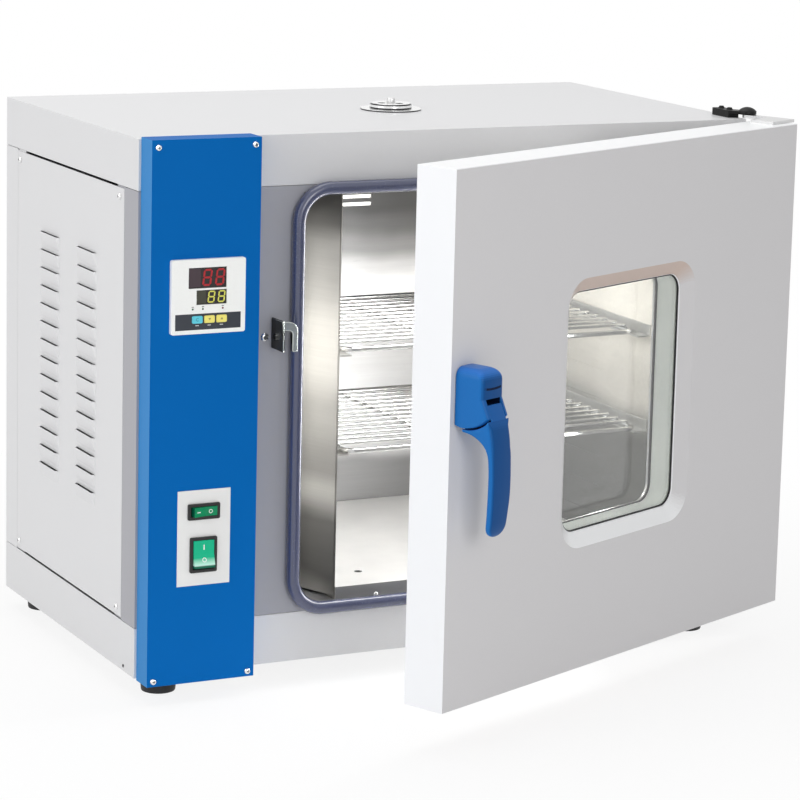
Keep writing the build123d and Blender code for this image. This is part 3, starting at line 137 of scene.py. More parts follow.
link.new(matt.outputs[0], mix.inputs[1])
link.new(glow.outputs[0], mix.inputs[2])
link.new(mix.outputs[0], out.inputs["Surface"])
floor_mesh.materials.append(pale)
floor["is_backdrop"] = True

# Studio light: a white room, a large soft lamp on the left, one overhead and
# one in front. Three small ones in the chamber and the door's gap light the steel.
world = bpy.data.worlds.new("studio")
world.use_nodes = True
world.node_tree.nodes.clear()
tree, link = world.node_tree.nodes, world.node_tree.links
room = tree.new("ShaderNodeBackground")
room.inputs["Color"].default_value = (1, 1, 1, 1)
room.inputs["Strength"].default_value = 0.36
wall = tree.new("ShaderNodeBackground")
wall.inputs["Color"].default_value = (1, 1, 1, 1)
wall.inputs["Strength"].default_value = 1.0
mix = tree.new("ShaderNodeMixShader")
out = tree.new("ShaderNodeOutputWorld")
link.new(seen_directly(tree, link), mix.inputs["Fac"])
link.new(room.outputs[0], mix.inputs[1])
link.new(wall.outputs[0], mix.inputs[2])
link.new(mix.outputs[0], out.inputs["Surface"])
bpy.context.scene.world = world
for name, place, aim, width, tall, power in (
    ("left lamp", (-2.3, -0.3, 1.3), (0.25, 0.15, 0.3), 1.8, 1.8, 26),
    ("top lamp", (0.1, 0.5, 2.6), (0.3, 0.15, 0.3), 2.0, 2.0, 26),
    ("front lamp", (0.1, -2.9, 1.2), (0.3, 0.15, 0.25), 1.2, 1.2, 24),
    ("chamber lamp", (0.32, 0.0, 0.42), (0.32, 0.3, 0.12), 0.2, 0.08, 1.0),
    ("door gap lamp", (0.44, -0.045, 0.27), (0.1, 0.01, 0.27), 0.04, 0.34, 1.0),
    ("return lamp", (0.137, -0.004, 0.25), (0.158, 0.05, 0.25), 0.01, 0.34, 0.095),
):
    lamp = bpy.data.lights.new(name, "AREA")
    lamp.shape = "RECTANGLE"
    lamp.size = width
    lamp.size_y = tall
    lamp.energy = power
    stand = bpy.data.objects.new(name, lamp)
    stand.location = place
    stand.rotation_euler = (Vector(aim) - Vector(place)).to_track_quat("-Z", "Y").to_euler()
    stand.visible_camera = False
    stand.visible_transmission = False
    bpy.context.scene.collection.objects.link(stand)
bpy.context.scene.view_settings.view_transform = "Standard"


# Painted sheet steel: base tray, top cover, rear and side panels and switch
# plate, in white powder coat with a fine orange peel and folded edges.
def surface_group(name, fine, coarse, stretch, tone, shine, depth):
    """Node group: a finish's colour and gloss broken up by fine and coarse unevenness."""
    group = bpy.data.node_groups.new(name, "ShaderNodeTree")
    for socket, way, kind in (
        ("Colour", "INPUT", "Color"),
        ("Roughness", "INPUT", "Float"),
        ("Colour", "OUTPUT", "Color"),
        ("Roughness", "OUTPUT", "Float"),
        ("Height", "OUTPUT", "Float"),
    ):
        group.interface.new_socket(socket, in_out=way, socket_type=f"NodeSocket{kind}")
    parts, join = group.nodes, group.links
    given = parts.new("NodeGroupInput")
    result = parts.new("NodeGroupOutput")
    place = parts.new("ShaderNodeTexCoord")
    spread = parts.new("ShaderNodeMapping")
    spread.inputs["Scale"].default_value = stretch
    join.new(place.outputs["Object"], spread.inputs["Vector"])
    grains = []
    for scale, detail in ((fine, 2.0), (coarse, 4.0)):
        grain = parts.new("ShaderNodeTexNoise")
        grain.inputs["Scale"].default_value = scale
        grain.inputs["Detail"].default_value = detail
        join.new(spread.outputs[0], grain.inputs["Vector"])
        grains.append(grain.outputs["Fac"])
    blend = parts.new("ShaderNodeMath")
    blend.operation = "ADD"
    join.new(grains[0], blend.inputs[0])
    join.new(grains[1], blend.inputs[1])
    for socket, amount in (("Colour", tone), ("Roughness", shine)):
        span = parts.new("ShaderNodeMapRange")
        span.inputs["From Min"].default_value = 0.5
        span.inputs["From Max"].default_value = 1.5
        span.inputs["To Min"].default_value = 1.0 - amount
        span.inputs["To Max"].default_value = 1.0 + amount
        join.new(blend.outputs[0], span.inputs["Value"])
        if socket == "Colour":
            times = parts.new("ShaderNodeVectorMath")
            times.operation = "SCALE"
            join.new(given.outputs[socket], times.inputs[0])
            join.new(span.outputs[0], times.inputs["Scale"])
        else:
            times = parts.new("ShaderNodeMath")
            times.operation = "MULTIPLY"
            join.new(given.outputs[socket], times.inputs[0])
            join.new(span.outputs[0], times.inputs[1])
        join.new(times.outputs[0], result.inputs[socket])
    lift = parts.new("ShaderNodeMath")
    lift.operation = "MULTIPLY"
    lift.inputs[1].default_value = depth
    join.new(grains[0], lift.inputs[0])
    join.new(lift.outputs[0], result.inputs["Height"])
    return group


def finish(name, group, colour, roughness, **plain):
    """Material that takes its colour, gloss and height from a surface group."""
    material, tree, link = new_material(name)
    surface = tree.new("ShaderNodeGroup")
    surface.node_tree = group
    surface.inputs["Colour"].default_value = (*colour, 1)
    surface.inputs["Roughness"].default_value = roughness
    shader = tree.new("ShaderNodeBsdfPrincipled")
    for socket, value in plain.items():
        shader.inputs[socket.replace("_", " ")].default_value = value
    bump = tree.new("ShaderNodeBump")
    bump.inputs["Distance"].default_value = 0.001
    out = tree.new("ShaderNodeOutputMaterial")
    link.new(surface.outputs["Colour"], shader.inputs["Base Color"])
    link.new(surface.outputs["Roughness"], shader.inputs["Roughness"])
    link.new(surface.outputs["Height"], bump.inputs["Height"])
    link.new(bump.outputs["Normal"], shader.inputs["Normal"])
    link.new(shader.outputs[0], out.inputs["Surface"])
    return material


def dress(material, *names):
    """Puts the material on whole parts."""
    for name in names:
        mesh = nodes[name].data
        mesh.materials.clear()
        mesh.materials.append(material)


def soften(width, *names, edge=None):
    """Fold radius along a part's edges, its new faces in the given finish as a painted highlight if one
    is given.
    """
    for name in names:
        part = nodes.get(name, name)
        weld = part.modifiers.new("weld", "WELD")
        weld.merge_threshold = 0.00002
        flat = part.modifiers.new("flat", "DECIMATE")
        flat.decimate_type = "DISSOLVE"
        flat.angle_limit = math.radians(0.3)
        bevel = part.modifiers.new("fold", "BEVEL")
        bevel.width = width
        bevel.segments = 2
        bevel.limit_method = "ANGLE"
        bevel.angle_limit = math.radians(50)
        bevel.harden_normals = True
        if edge:
            part.data.materials.append(edge)
            bevel.material = 1


def spot(x, y, z):
    """Cabinet millimetres, from its left side, front plane and underside, in the frame."""
    return Vector((x - 33, y - 22, z + 20)) / 1000


across = Vector((1, 0, 0))
back = Vector((0, 1, 0))
aloft = Vector((0, 0, 1))
powder = surface_group("powder coat", 900, 3, (1, 1, 1), 0.02, 0.15, 0.04)
white_enamel = finish("white enamel", powder, (0.74, 0.74, 0.75), 0.38)
dress(white_enamel, "base_tray", "top_cover", "rear_panel", "left_side_panel", "right_side_panel")
# Its folds are painted brighter white than the sheet, a painted highlight.
fold_highlight_white = finish("fold highlight white", powder, (0.97, 0.97, 0.99), 0.3)
soften(0.0011, "base_tray", "top_cover", edge=fold_highlight_white)

# Front frame: pressed steel sheet round the chamber's mouth, in a darker grey
# powder coat than the cabinet, flat and matt.
frame_grey = finish("frame grey", powder, (0.39, 0.39, 0.42), 0.45)
dress(frame_grey, "front_frame")


# Door pan: one folded sheet with a dished window recess, in grey. Its edges and folds
# are painted white as painted light; the recess's slopes carry painted shade and
# reflection, tan at its top and pale at its foot.
def mask_group(name):
    """An empty node group with one output, and the node that feeds it."""
    group = bpy.data.node_groups.new(name, "ShaderNodeTree")
    group.interface.new_socket("Mask", in_out="OUTPUT", socket_type="NodeSocketFloat")
    return group, group.nodes, group.links, group.nodes.new("NodeGroupOutput").inputs["Mask"]


def facing_mask(name, toward, start, end):
    """Node group: 0 to 1 as a face turns toward the given direction."""
    group, parts, join, mask = mask_group(name)
    place = parts.new("ShaderNodeNewGeometry")
    dot = parts.new("ShaderNodeVectorMath")
    dot.operation = "DOT_PRODUCT"
    dot.inputs[1].default_value = toward
    span = parts.new("ShaderNodeMapRange")
    span.inputs["From Min"].default_value = start
    span.inputs["From Max"].default_value = end
    join.new(place.outputs["True Normal"], dot.inputs[0])
    join.new(dot.outputs["Value"], span.inputs["Value"])
    join.new(span.outputs[0], mask)
    return group


def paint_over(material, mask, colour):
    """Lays a colour over the material's own where the mask group gives 1."""
    tree, link = material.node_tree.nodes, material.node_tree.links
    shader = next(n for n in tree if n.type == "BSDF_PRINCIPLED")
    under = shader.inputs["Base Color"].links[0].from_socket
    cover = tree.new("ShaderNodeGroup")
    cover.node_tree = mask
    paint = tree.new("ShaderNodeMix")
    paint.data_type = "RGBA"
    paint.inputs["B"].default_value = (*colour, 1)
    link.new(cover.outputs["Mask"], paint.inputs["Factor"])
    link.new(under, paint.inputs["A"])
    link.new(paint.outputs["Result"], shader.inputs["Base Color"])


door_paint = finish("door paint", powder, (0.68, 0.67, 0.68), 0.36)
door_open = math.radians(23.8)
ahead_of_door = (math.sin(door_open), -math.cos(door_open), 0)
paint_over(door_paint, facing_mask("painted light on door edge", ahead_of_door, 0.6, 0.4), (0.93, 0.94, 0.96))
paint_over(door_paint, facing_mask("painted shade and reflection on slope facing down", (0, 0, -1), 0.15, 0.5), (0.60, 0.48, 0.42))
paint_over(door_paint, facing_mask("painted highlight on slope facing up", (0, 0, 1), 0.15, 0.5), (0.98, 0.99, 1.0))
dress(door_paint, "door_pan")
soften(0.0009, "door_pan", edge=fold_highlight_white)

# Control panel: a folded box of sheet steel in blue powder coat, held by four
# chrome screws at its corners.
blue_enamel = finish("blue enamel", powder, (0.0, 0.135, 0.47), 0.5, Specular_IOR_Level=0.06)
# The left flange is painted lighter blue, a painted reflection; the folds are a painted highlight.
paint_over(blue_enamel, facing_mask("painted reflection on blue flange", (-1, 0, 0), 0.5, 0.9), (0.055, 0.26, 0.60))
dress(blue_enamel, "control_panel")
fold_highlight_blue = finish("fold highlight blue", powder, (0.04, 0.26, 0.62), 0.4, Specular_IOR_Level=0.2)
soften(0.0010, "control_panel", edge=fold_highlight_blue)

# Switch plate: a thin white plate on the control panel, satin, with square
# cut-outs for the two rocker switches.
plate_white = finish("plate white", powder, (0.86, 0.86, 0.85), 0.45)
dress(plate_white, "switch_plate")
soften(0.0003, "switch_plate")

# Chamber: stainless sheet, brushed level. Each wall carries a painted reflection of
# the room and painted shade in soft level bands, bright in the middle and dark toward its ends.
brushed = surface_group("brushed steel", 30, 4, (1, 1, 60), 0.06, 0.25, 0.02)


def painted_light_bands(name, stops, tint):
    """Node group: painted reflection and shade, a colour that changes with height, from (height in mm,
    grey) stops.
    """
    sway = 0.03
    group = bpy.data.node_groups.new(name, "ShaderNodeTree")
    group.interface.new_socket("Colour", in_out="OUTPUT", socket_type="NodeSocketColor")
    parts, join = group.nodes, group.links
    place = parts.new("ShaderNodeTexCoord")
    wander = parts.new("ShaderNodeTexNoise")
    wander.inputs["Scale"].default_value = 9
    wave = parts.new("ShaderNodeMath")
    wave.operation = "MULTIPLY"
    wave.inputs[1].default_value = sway
    split = parts.new("ShaderNodeSeparateXYZ")
    height = parts.new("ShaderNodeMath")
    height.operation = "ADD"
    span = parts.new("ShaderNodeMapRange")
    span.inputs["From Min"].default_value = spot(0, 0, stops[0][0]).z
    span.inputs["From Max"].default_value = spot(0, 0, stops[-1][0]).z
    ramp = parts.new("ShaderNodeValToRGB")
    ramp.color_ramp.interpolation = "EASE"
    marks = ramp.color_ramp.elements
    while len(marks) < len(stops):
        marks.new(0.5)
    for mark, (level_mm, grey) in zip(marks, stops):
        mark.position = (level_mm - stops[0][0]) / (stops[-1][0] - stops[0][0])
        mark.color = (*(grey * share for share in tint), 1)
    join.new(place.outputs["Object"], split.inputs[0])
    join.new(place.outputs["Object"], wander.inputs["Vector"])
    join.new(wander.outputs["Fac"], wave.inputs[0])
    join.new(split.outputs["Z"], height.inputs[0])
    join.new(wave.outputs[0], height.inputs[1])
    join.new(height.outputs[0], span.inputs["Value"])
    join.new(span.outputs[0], ramp.inputs["Fac"])
    join.new(ramp.outputs["Color"], parts.new("NodeGroupOutput").inputs["Colour"])
    return group


def steel_with_painted_light(name, stops, tint=(1, 1, 1)):
    """Brushed steel whose grey follows the given bands of painted reflection and shade."""
    material = finish(name, brushed, (0.9, 0.9, 0.9), 0.36, Metallic=0.45)
    tree, link = material.node_tree.nodes, material.node_tree.links
    bands = tree.new("ShaderNodeGroup")
    bands.node_tree = painted_light_bands(name, stops, tint)
    surface = next(n for n in tree if n.type == "GROUP" and n.node_tree == brushed)
    link.new(bands.outputs["Colour"], surface.inputs["Colour"])
    return material


wall_painted_light_stops = (
    (52, 0.02), (56, 0.02), (59, 0.36), (118, 0.40), (138, 0.95), (318, 1.0),
    (334, 0.7), (350, 0.3), (372, 0.13), (390, 0.07), (446, 0.06),
)
dress(steel_with_painted_light("wall steel with painted light", wall_painted_light_stops), "chamber_liner")
duct_painted_light_stops = (
    (52, 0.5), (66, 0.30), (90, 0.10), (135, 0.13), (165, 0.40), (185, 0.26),
    (245, 0.42), (300, 0.66), (345, 0.72), (405, 0.7), (430, 0.45), (446, 0.3),
)
dress(steel_with_painted_light("left duct steel with painted light", duct_painted_light_stops, tint=(1.0, 0.97, 0.9)), "left_duct_panel")
right_painted_light_stops = ((52, 0.05), (120, 0.07), (188, 0.10), (212, 0.32), (240, 0.7), (300, 0.9), (446, 0.95))
right_steel_painted_light = steel_with_painted_light("right duct steel with painted light", right_painted_light_stops, tint=(1.0, 0.94, 0.85))
dress(right_steel_painted_light, "right_duct_panel")
plain_steel = finish("plain steel", brushed, (0.62, 0.61, 0.59), 0.36, Metallic=0.7)
dress(plain_steel, "shelf_rails", "door_inner_panel")
bright_floor = finish("bright floor plate", brushed, (0.93, 0.92, 0.90), 0.42, Metallic=0.4)
# The plate's front lip is painted dark grey, a painted shade.
paint_over(bright_floor, facing_mask("painted shade on floor lip", (0, -1, 0), 0.5, 0.8), (0.30, 0.30, 0.30))
dress(bright_floor, "floor_plate")


# Screen behind the right duct's air slots: a thin sheet of the duct's own steel with
# its painted reflection bands, cut to the height of the slots and held close behind them.
def mesh_of(name, shape):
    """The mesh built so far, under its name."""
    mesh = bpy.data.meshes.new(name)
    shape.to_mesh(mesh)
    shape.free()
    return mesh


def new_piece(name, mesh, material, body):
    """A piece of the scene's own, in its material and riding its body."""
    mesh.materials.append(material)
    piece = bpy.data.objects.new(name, mesh)
    bpy.context.scene.collection.objects.link(piece)
    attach(piece, body)
    return piece


def sheet_mesh(name, low, high):
    """A flat sheet between two opposite corners."""
    shape = bmesh.new()
    rings = []
    for y in (low.y, high.y):
        places = ((low.x, low.z), (high.x, low.z), (high.x, high.z), (low.x, high.z))
        rings.append([shape.verts.new((x, y, z)) for x, z in places])
    front, rear = rings
    shape.faces.new(front)
    shape.faces.new(rear[::-1])
    for i in range(4):
        j = (i + 1) % 4
        shape.faces.new((front[j], front[i], rear[i], rear[j]))
    bmesh.ops.recalc_face_normals(shape, faces=shape.faces)
    return mesh_of(name, shape)


screen = sheet_mesh("duct_screen", spot(547.3, 22, 58), spot(547.7, 322, 438))
new_piece("duct_screen", screen, right_steel_painted_light, "cabinet")

# Wire shelves: drawn steel wire, welded and polished until bright, with a
# faint unevenness along every wire.
polished = surface_group("polished metal", 300, 20, (1, 1, 1), 0.05, 0.3, 0.001)
wire = finish("bright wire", polished, (0.62, 0.62, 0.61), 0.22, Metallic=1.0)
dress(wire, "lower_shelf", "upper_shelf")

# Screws and small fittings: chrome-plated steel. The screws' heads are rounded; each
# cross recess is a thin near-black mark on the head, painted shade.
chrome = finish("chrome", polished, (0.82, 0.82, 0.82), 0.12, Metallic=1.0)
dress(chrome, "panel_screws", "keeper_screw", "temperature_probe")
soften(0.0007, "panel_screws", "keeper_screw")
recess_shade_and_rivet_black = finish("recess shade and rivet black", polished, (0.02, 0.02, 0.022), 0.5)


def stamp(name, outlines, holder, centre, material, body, right=across, lift=0.05):
    """Thin marks (outlines in mm) laid on the face of a part, where they meet it from outside."""
    outward = right.cross(aloft)
    holder = nodes.get(holder, holder)
    matrix = holder.matrix_world
    corners = [matrix @ vertex.co for vertex in holder.data.vertices]
    part = BVHTree.FromPolygons(corners, [list(face.vertices) for face in holder.data.polygons])
    shape = bmesh.new()
    for outline in outlines:
        low = []
        high = []
        for u, v in outline:
            aim = centre + (right * u + aloft * v) / 1000
            met = part.ray_cast(aim + outward * 0.05, -outward)[0] or aim
            low.append(shape.verts.new(met))
            high.append(shape.verts.new(met + outward * lift / 1000))
        shape.faces.new(low[::-1])
        shape.faces.new(high)
        for i in range(len(outline)):
            j = (i + 1) % len(outline)
            shape.faces.new((low[i], low[j], high[j], high[i]))
    return new_piece(name, mesh_of(name, shape), material, body)


bpy.context.view_layer.update()


def cross_outline(arm, half):
    """A cross whose arms have this length and half this width."""
    corner = [(half, half), (half, arm), (-half, arm)]
    points = []
    for quarter in range(4):
        angle = math.pi / 2 * quarter
        for u, v in corner:
            turned_u = u * math.cos(angle) - v * math.sin(angle)
            points.append((turned_u, u * math.sin(angle) + v * math.cos(angle)))
    return points


cross = cross_outline(1.35, 0.32)
cross_lift = 0.06
for y in (45.0, 313.0):
    for z in (57.5, 442.5):
        for x, right in ((0, -back), (640, back)):
            name = f"side_cross_{x}_{y:.0f}_{z:.0f}"
            stamp(name, [cross], "panel_screws", spot(x, y, z), recess_shade_and_rivet_black, "cabinet", right, cross_lift)
for x in (8.6, 102.3):
    for z in (3.2, 495):
        name = f"panel_cross_{x:.0f}_{z:.0f}"
        stamp(name, [cross], "panel_screws", spot(x, -26, z), recess_shade_and_rivet_black, "cabinet", lift=cross_lift)
keeper_screw = spot(125.9, 0, 312.4)
stamp("keeper_cross", [cross], "keeper_screw", keeper_screw, recess_shade_and_rivet_black, "cabinet", lift=cross_lift)


# Latch keeper: a bent steel claw, chromed, welded to the frame by its web. The web's
# side is painted near-black as painted shade, and its root as a painted shadow behind the claw.
def band_mask(name, axis, start, end):
    """Node group: 0 to 1 between two places along one of the object's axes."""
    group, parts, join, mask = mask_group(name)
    place = parts.new("ShaderNodeTexCoord")
    split = parts.new("ShaderNodeSeparateXYZ")
    span = parts.new("ShaderNodeMapRange")
    span.inputs["From Min"].default_value = start
    span.inputs["From Max"].default_value = end
    join.new(place.outputs["Object"], split.inputs[0])
    join.new(split.outputs[axis], span.inputs["Value"])
    join.new(span.outputs[0], mask)
    return group


keeper_chrome = finish("keeper chrome", polished, (0.66, 0.70, 0.68), 0.2, Metallic=1.0)
paint_over(keeper_chrome, facing_mask("painted shade on web side", (-1, 0, 0), 0.5, 0.8), (0.03, 0.034, 0.034))
web_root_shadow_mask = band_mask("painted shadow at web root", "Y", spot(0, -12, 0).y, spot(0, -9, 0).y)
paint_over(keeper_chrome, web_root_shadow_mask, (0.012, 0.012, 0.013))
dress(keeper_chrome, "latch_keeper")


def arc(centre, radius, start, end, count):
    """Points along an arc, its angles in degrees."""
    points = []
    for i in range(count + 1):
        angle = math.radians(start + (end - start) * i / count)
        points.append((centre[0] + radius * math.cos(angle), centre[1] + radius * math.sin(angle)))
    return points


def loft(shape, sections, place):
    """Skin over closed outlines; each section is (level, [(u, v), ...]) with equally many points."""
    rings = []
    for level, outline in sections:
        rings.append([shape.verts.new(place(u, v, level)) for u, v in outline])
    shape.faces.new(rings[0])
    shape.faces.new(rings[-1][::-1])
    for low, high in zip(rings, rings[1:]):
        for i in range(len(low)):
            j = (i + 1) % len(low)
            shape.faces.new((low[j], low[i], high[i], high[j]))


def finish_shape(name, shape):
    """The skin as a mesh, smooth except along its sharp edges."""
    bmesh.ops.recalc_face_normals(shape, faces=shape.faces)
    mesh = mesh_of(name, shape)
    mesh.polygons.foreach_set("use_smooth", [True] * len(mesh.polygons))
    mesh.set_sharp_from_angle(angle=math.radians(40))
    return mesh


def keeper_spot(x, z, out_mm):
    """Millimetres across and up, and out from the front plane."""
    return spot(x, -out_mm, z)


keeper_x, keeper_foot, keeper_top, keeper_front, claw_thick = 132.2, 302, 331, 27.0, 5.5
claw = [(keeper_x, keeper_top), (138, keeper_top)] + arc((138.2, 321.2), 9.5, 80, 0, 7)
claw += [(147.7, 303.5), (146.6, keeper_foot), (142.6, keeper_foot), (141.8, 303.5)]
claw += arc((138.4, 318.6), 3.4, 0, 80, 5) + [(keeper_x, 322.4)]
web_x = keeper_x + 2.4
web = [(keeper_x, keeper_foot), (web_x, keeper_foot), (web_x, keeper_top), (keeper_x, keeper_top)]
shape = bmesh.new()
loft(shape, [(keeper_front - claw_thick, claw), (keeper_front, claw)], keeper_spot)
loft(shape, [(0.1, web), (keeper_front, web)], keeper_spot)
keeper_mesh = finish_shape("latch_keeper_skin", shape)
keeper_piece = new_piece("latch_keeper_skin", keeper_mesh, keeper_chrome, "cabinet")
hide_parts("latch_keeper")
soften(0.0011, keeper_piece)

# Zinc-plated and plain steel pieces that show little: partition, posts, pins,
# hinge straps, fan, latch rod and motor.
zinc = finish("zinc", polished, (0.60, 0.60, 0.60), 0.35, Metallic=1.0)
dress(zinc, "partition", "panel_posts", "hinge_straps", "foot_screws")
dress(zinc, "fan_impeller", "latch_rod", "fan_motor")
sheath = finish("heater sheath", polished, (0.25, 0.22, 0.20), 0.5, Metallic=1.0)
dress(sheath, "heaters")

# Insulation: pale mineral wool behind the liner and in the door, fibrous and
# uneven, seen only through the slots in the back wall.
wool = surface_group("mineral wool", 120, 12, (1, 1, 1), 0.12, 0.1, 0.8)
wool_finish = finish("mineral wool", wool, (0.88, 0.87, 0.84), 0.95)
dress(wool_finish, "insulation", "door_insulation")

# Door gasket: extruded silicone in slate blue, smooth and a little glossy, in
# a groove round the chamber's mouth.
moulded = surface_group("moulded", 700, 6, (1, 1, 1), 0.03, 0.2, 0.008)
silicone = finish("silicone", moulded, (0.062, 0.072, 0.145), 0.25, Coat_Weight=1.0, Coat_Roughness=0.2)
dress(silicone, "door_gasket")

# Feet and window seals: moulded black rubber, matt. The feet's rims are
# rounded a little.
rubber = finish("black rubber", moulded, (0.012, 0.012, 0.013), 0.6)
dress(rubber, "feet", "window_seals")
soften(0.001, "feet")

# Temperature controller: white moulded case with two dark display windows, a
# dark key strip, three lamps and three keys.
controller_white = finish("controller white", moulded, (0.98, 0.99, 0.97), 0.45)
dress(controller_white, "controller_case")
soften(0.0004, "controller_case")
display_dark = finish("display dark", moulded, (0.010, 0.006, 0.007), 0.12)
dress(display_dark, "display_windows")
strip_dark = finish("strip dark", moulded, (0.027, 0.033, 0.045), 0.4)
dress(strip_dark, "key_strip")
cyan = finish("cyan key", moulded, (0.12, 0.66, 0.80), 0.5)
dress(cyan, "set_key")
yellow = finish("yellow key", moulded, (0.95, 0.84, 0.20), 0.5)
dress(yellow, "down_key", "up_key")
soften(0.0004, "set_key", "down_key", "up_key")
lamp_lens = finish("lamp lens", moulded, (0.05, 0.03, 0.03), 0.2)
dress(lamp_lens, "indicator_lamps")


# Digits on the two displays: seven bars each, leaning, lit red above and yellow
# below; the first place of each display stays dark.
def digit_bars(width, height, stroke):
    """Outlines of the seven bars of one digit, centred, leaning to the right."""
    half_w = width / 2
    half_h = height / 2
    gap = stroke * 0.12
    bars = []

    def bar(u0, v0, u1, v1):
        along = Vector((u1 - u0, v1 - v0)).normalized()
        aside = Vector((-along.y, along.x)) * stroke / 2
        start = Vector((u0, v0)) + along * gap
        end = Vector((u1, v1)) - along * gap
        tip = along * stroke / 2
        ring = [start, start + tip - aside, end - tip - aside]
        ring += [end, end - tip + aside, start + tip + aside]
        bars.append([(p.x + p.y * 0.12, p.y) for p in ring])

    for v in (-half_h, 0, half_h):
        bar(-half_w, v, half_w, v)
    for u in (-half_w, half_w):
        bar(u, -half_h, u, 0)
        bar(u, 0, u, half_h)
    return bars


def bar_outline(half_w, half_h):
    """A plain bar, centred."""
    return [(-half_w, -half_h), (half_w, -half_h), (half_w, half_h), (-half_w, half_h)]


def lit(name, colour, strength):
    """A finish that gives off its own colour."""
    glowing = finish(name, moulded, colour, 0.4)
    shader = next(n for n in glowing.node_tree.nodes if n.type == "BSDF_PRINCIPLED")
    shader.inputs["Emission Color"].default_value = (*colour, 1)
    shader.inputs["Emission Strength"].default_value = strength
    return glowing


red_glow = lit("red digits", (0.40, 0.005, 0.012), 0.12)
yellow_glow = lit("yellow digits", (0.55, 0.54, 0.09), 0.35)
red_dark = finish("unlit red place", moulded, (0.050, 0.028, 0.038), 0.3)
yellow_dark = finish("unlit yellow place", moulded, (0.045, 0.045, 0.028), 0.3)
for name, x0, x1, z0, z1, bright, dim in (
    ("upper", 37.0, 74.2, 367.1, 386.1, red_glow, red_dark),
    ("lower", 44.8, 74.5, 352.1, 365.5, yellow_glow, yellow_dark),
):
    pitch = (x1 - x0) / 3
    tall = (z1 - z0) * 0.72
    bars = digit_bars(pitch * 0.56, tall, tall * 0.13)
    for i in range(3):
        place = spot(x0 + pitch * (i + 0.5) + 0.2, -29, (z0 + z1) / 2)
        shapes, ink = (bars, bright) if i else ([bar_outline(pitch * 0.46, tall * 0.62)], dim)
        stamp(f"{name}_digit_{i}", shapes, "display_windows", place, ink, "cabinet", lift=0.1)


# Small marks on the controller: arrows on the yellow keys, a bar under each
# key and a tick over each lamp, printed in thin ink.
key_ink = finish("key ink", moulded, (0.30, 0.27, 0.08), 0.5)
cyan_ink = finish("cyan ink", moulded, (0.03, 0.22, 0.32), 0.5)
white_ink = finish("white ink", moulded, (0.75, 0.76, 0.76), 0.5)
black_ink = finish("black ink", moulded, (0.05, 0.05, 0.05), 0.5)
down_arrow = [(-1.3, 0.9), (0, -1.1), (1.3, 0.9)]
up_arrow = [(1.3, -0.9), (0, 1.1), (-1.3, -0.9)]
ring_part = arc((0, 0), 1.5, 40, 320, 10)
turn_mark = ring_part + [(u * 0.7, v * 0.7) for u, v in ring_part[::-1]]
for key, x, outline, ink in (
    ("set", 45.65, turn_mark, cyan_ink),
    ("down", 57.5, down_arrow[::-1], key_ink),
    ("up", 69.35, up_arrow[::-1], key_ink),
):
    stamp(f"{key}_mark", [outline], f"{key}_key", spot(x, -31, 338.8), ink, f"{key}_button")
    stamp(f"{key}_bar", [bar_outline(1.6, 0.35)], "key_strip", spot(x, -30, 333.2), white_ink, "cabinet")
for number, x in enumerate((41.2, 51.1, 70.5)):
    tick = [bar_outline(1.1, 0.3)]
    stamp(f"lamp_tick_{number}", tick, "controller_case", spot(x, -30, 350.3), black_ink, "cabinet")


# Lamp lenses: three small clear domes pressed into the case, two green and
# one red.
def dome_mesh(name, place, right, radius, height, rings=4, count=20):
    """A round dome standing on a face whose level direction is given."""
    out_from = right.cross(aloft)
    shape = bmesh.new()
    last = None
    for step in range(rings):
        angle = math.pi / 2 * step / rings
        reach = radius * math.cos(angle)
        rise = height * math.sin(angle)
        ring = []
        for i in range(count):
            around = 2 * math.pi * i / count
            flat = right * (reach * math.cos(around)) + aloft * (reach * math.sin(around))
            ring.append(shape.verts.new(place + (flat + out_from * rise) / 1000))
        if last:
            for i in range(count):
                j = (i + 1) % count
                shape.faces.new((last[i], last[j], ring[j], ring[i]))
        else:
            shape.faces.new(ring[::-1])
        last = ring
    top = shape.verts.new(place + out_from * height / 1000)
    for i in range(count):
        shape.faces.new((last[i], last[(i + 1) % count], top))
    for face in shape.faces:
        face.smooth = True
    return mesh_of(name, shape)


green_lens = finish("green lens", moulded, (0.02, 0.10, 0.04), 0.15, Coat_Weight=0.6)
red_lens = finish("red lens", moulded, (0.16, 0.02, 0.02), 0.15, Coat_Weight=0.6)
for number, (x, lens_finish) in enumerate(((41.2, green_lens), (51.1, green_lens), (70.5, red_lens))):
    mesh = dome_mesh("lamp_dome", spot(x, -30.5, 348.3), across, 0.9, 0.45)
    new_piece(f"lamp_dome_{number}", mesh, lens_finish, "cabinet")

# Rocker switches: black moulded bezels with green translucent rockers, marked with the
# usual on and off signs. The heating rocker's end is painted darker as painted shade; the power
# rocker is painted lighter green as painted light, with a painted highlight band and a painted
# shadow at its foot.
black = finish("black plastic", moulded, (0.012, 0.012, 0.012), 0.4)
dress(black, "heating_switch_housing", "power_switch_housing", "power_inlet")
soften(0.0004, "heating_switch_housing", "power_switch_housing", "power_inlet")
green = finish("green rocker", moulded, (0.0, 0.25, 0.10), 0.25, Specular_IOR_Level=0.3)
paint_over(green, facing_mask("painted shade on rocker end", (-1, 0, 0), 0.5, 0.8), (0.0, 0.10, 0.05))
dress(green, "heating_switch_rocker")
power_rocker_painted_light = finish("green rocker with painted light", moulded, (0.0, 0.50, 0.26), 0.25, Specular_IOR_Level=0.3)
for band, start, end, colour in (
    ("painted highlight band", 117, 110, (0.62, 0.95, 0.82)),
    ("painted shadow at rocker foot", 110.4, 109.4, (0.0, 0.13, 0.07)),
):
    paint_over(power_rocker_painted_light, band_mask(band, "Z", spot(0, 0, start).z, spot(0, 0, end).z), colour)
dress(power_rocker_painted_light, "power_switch_rocker")
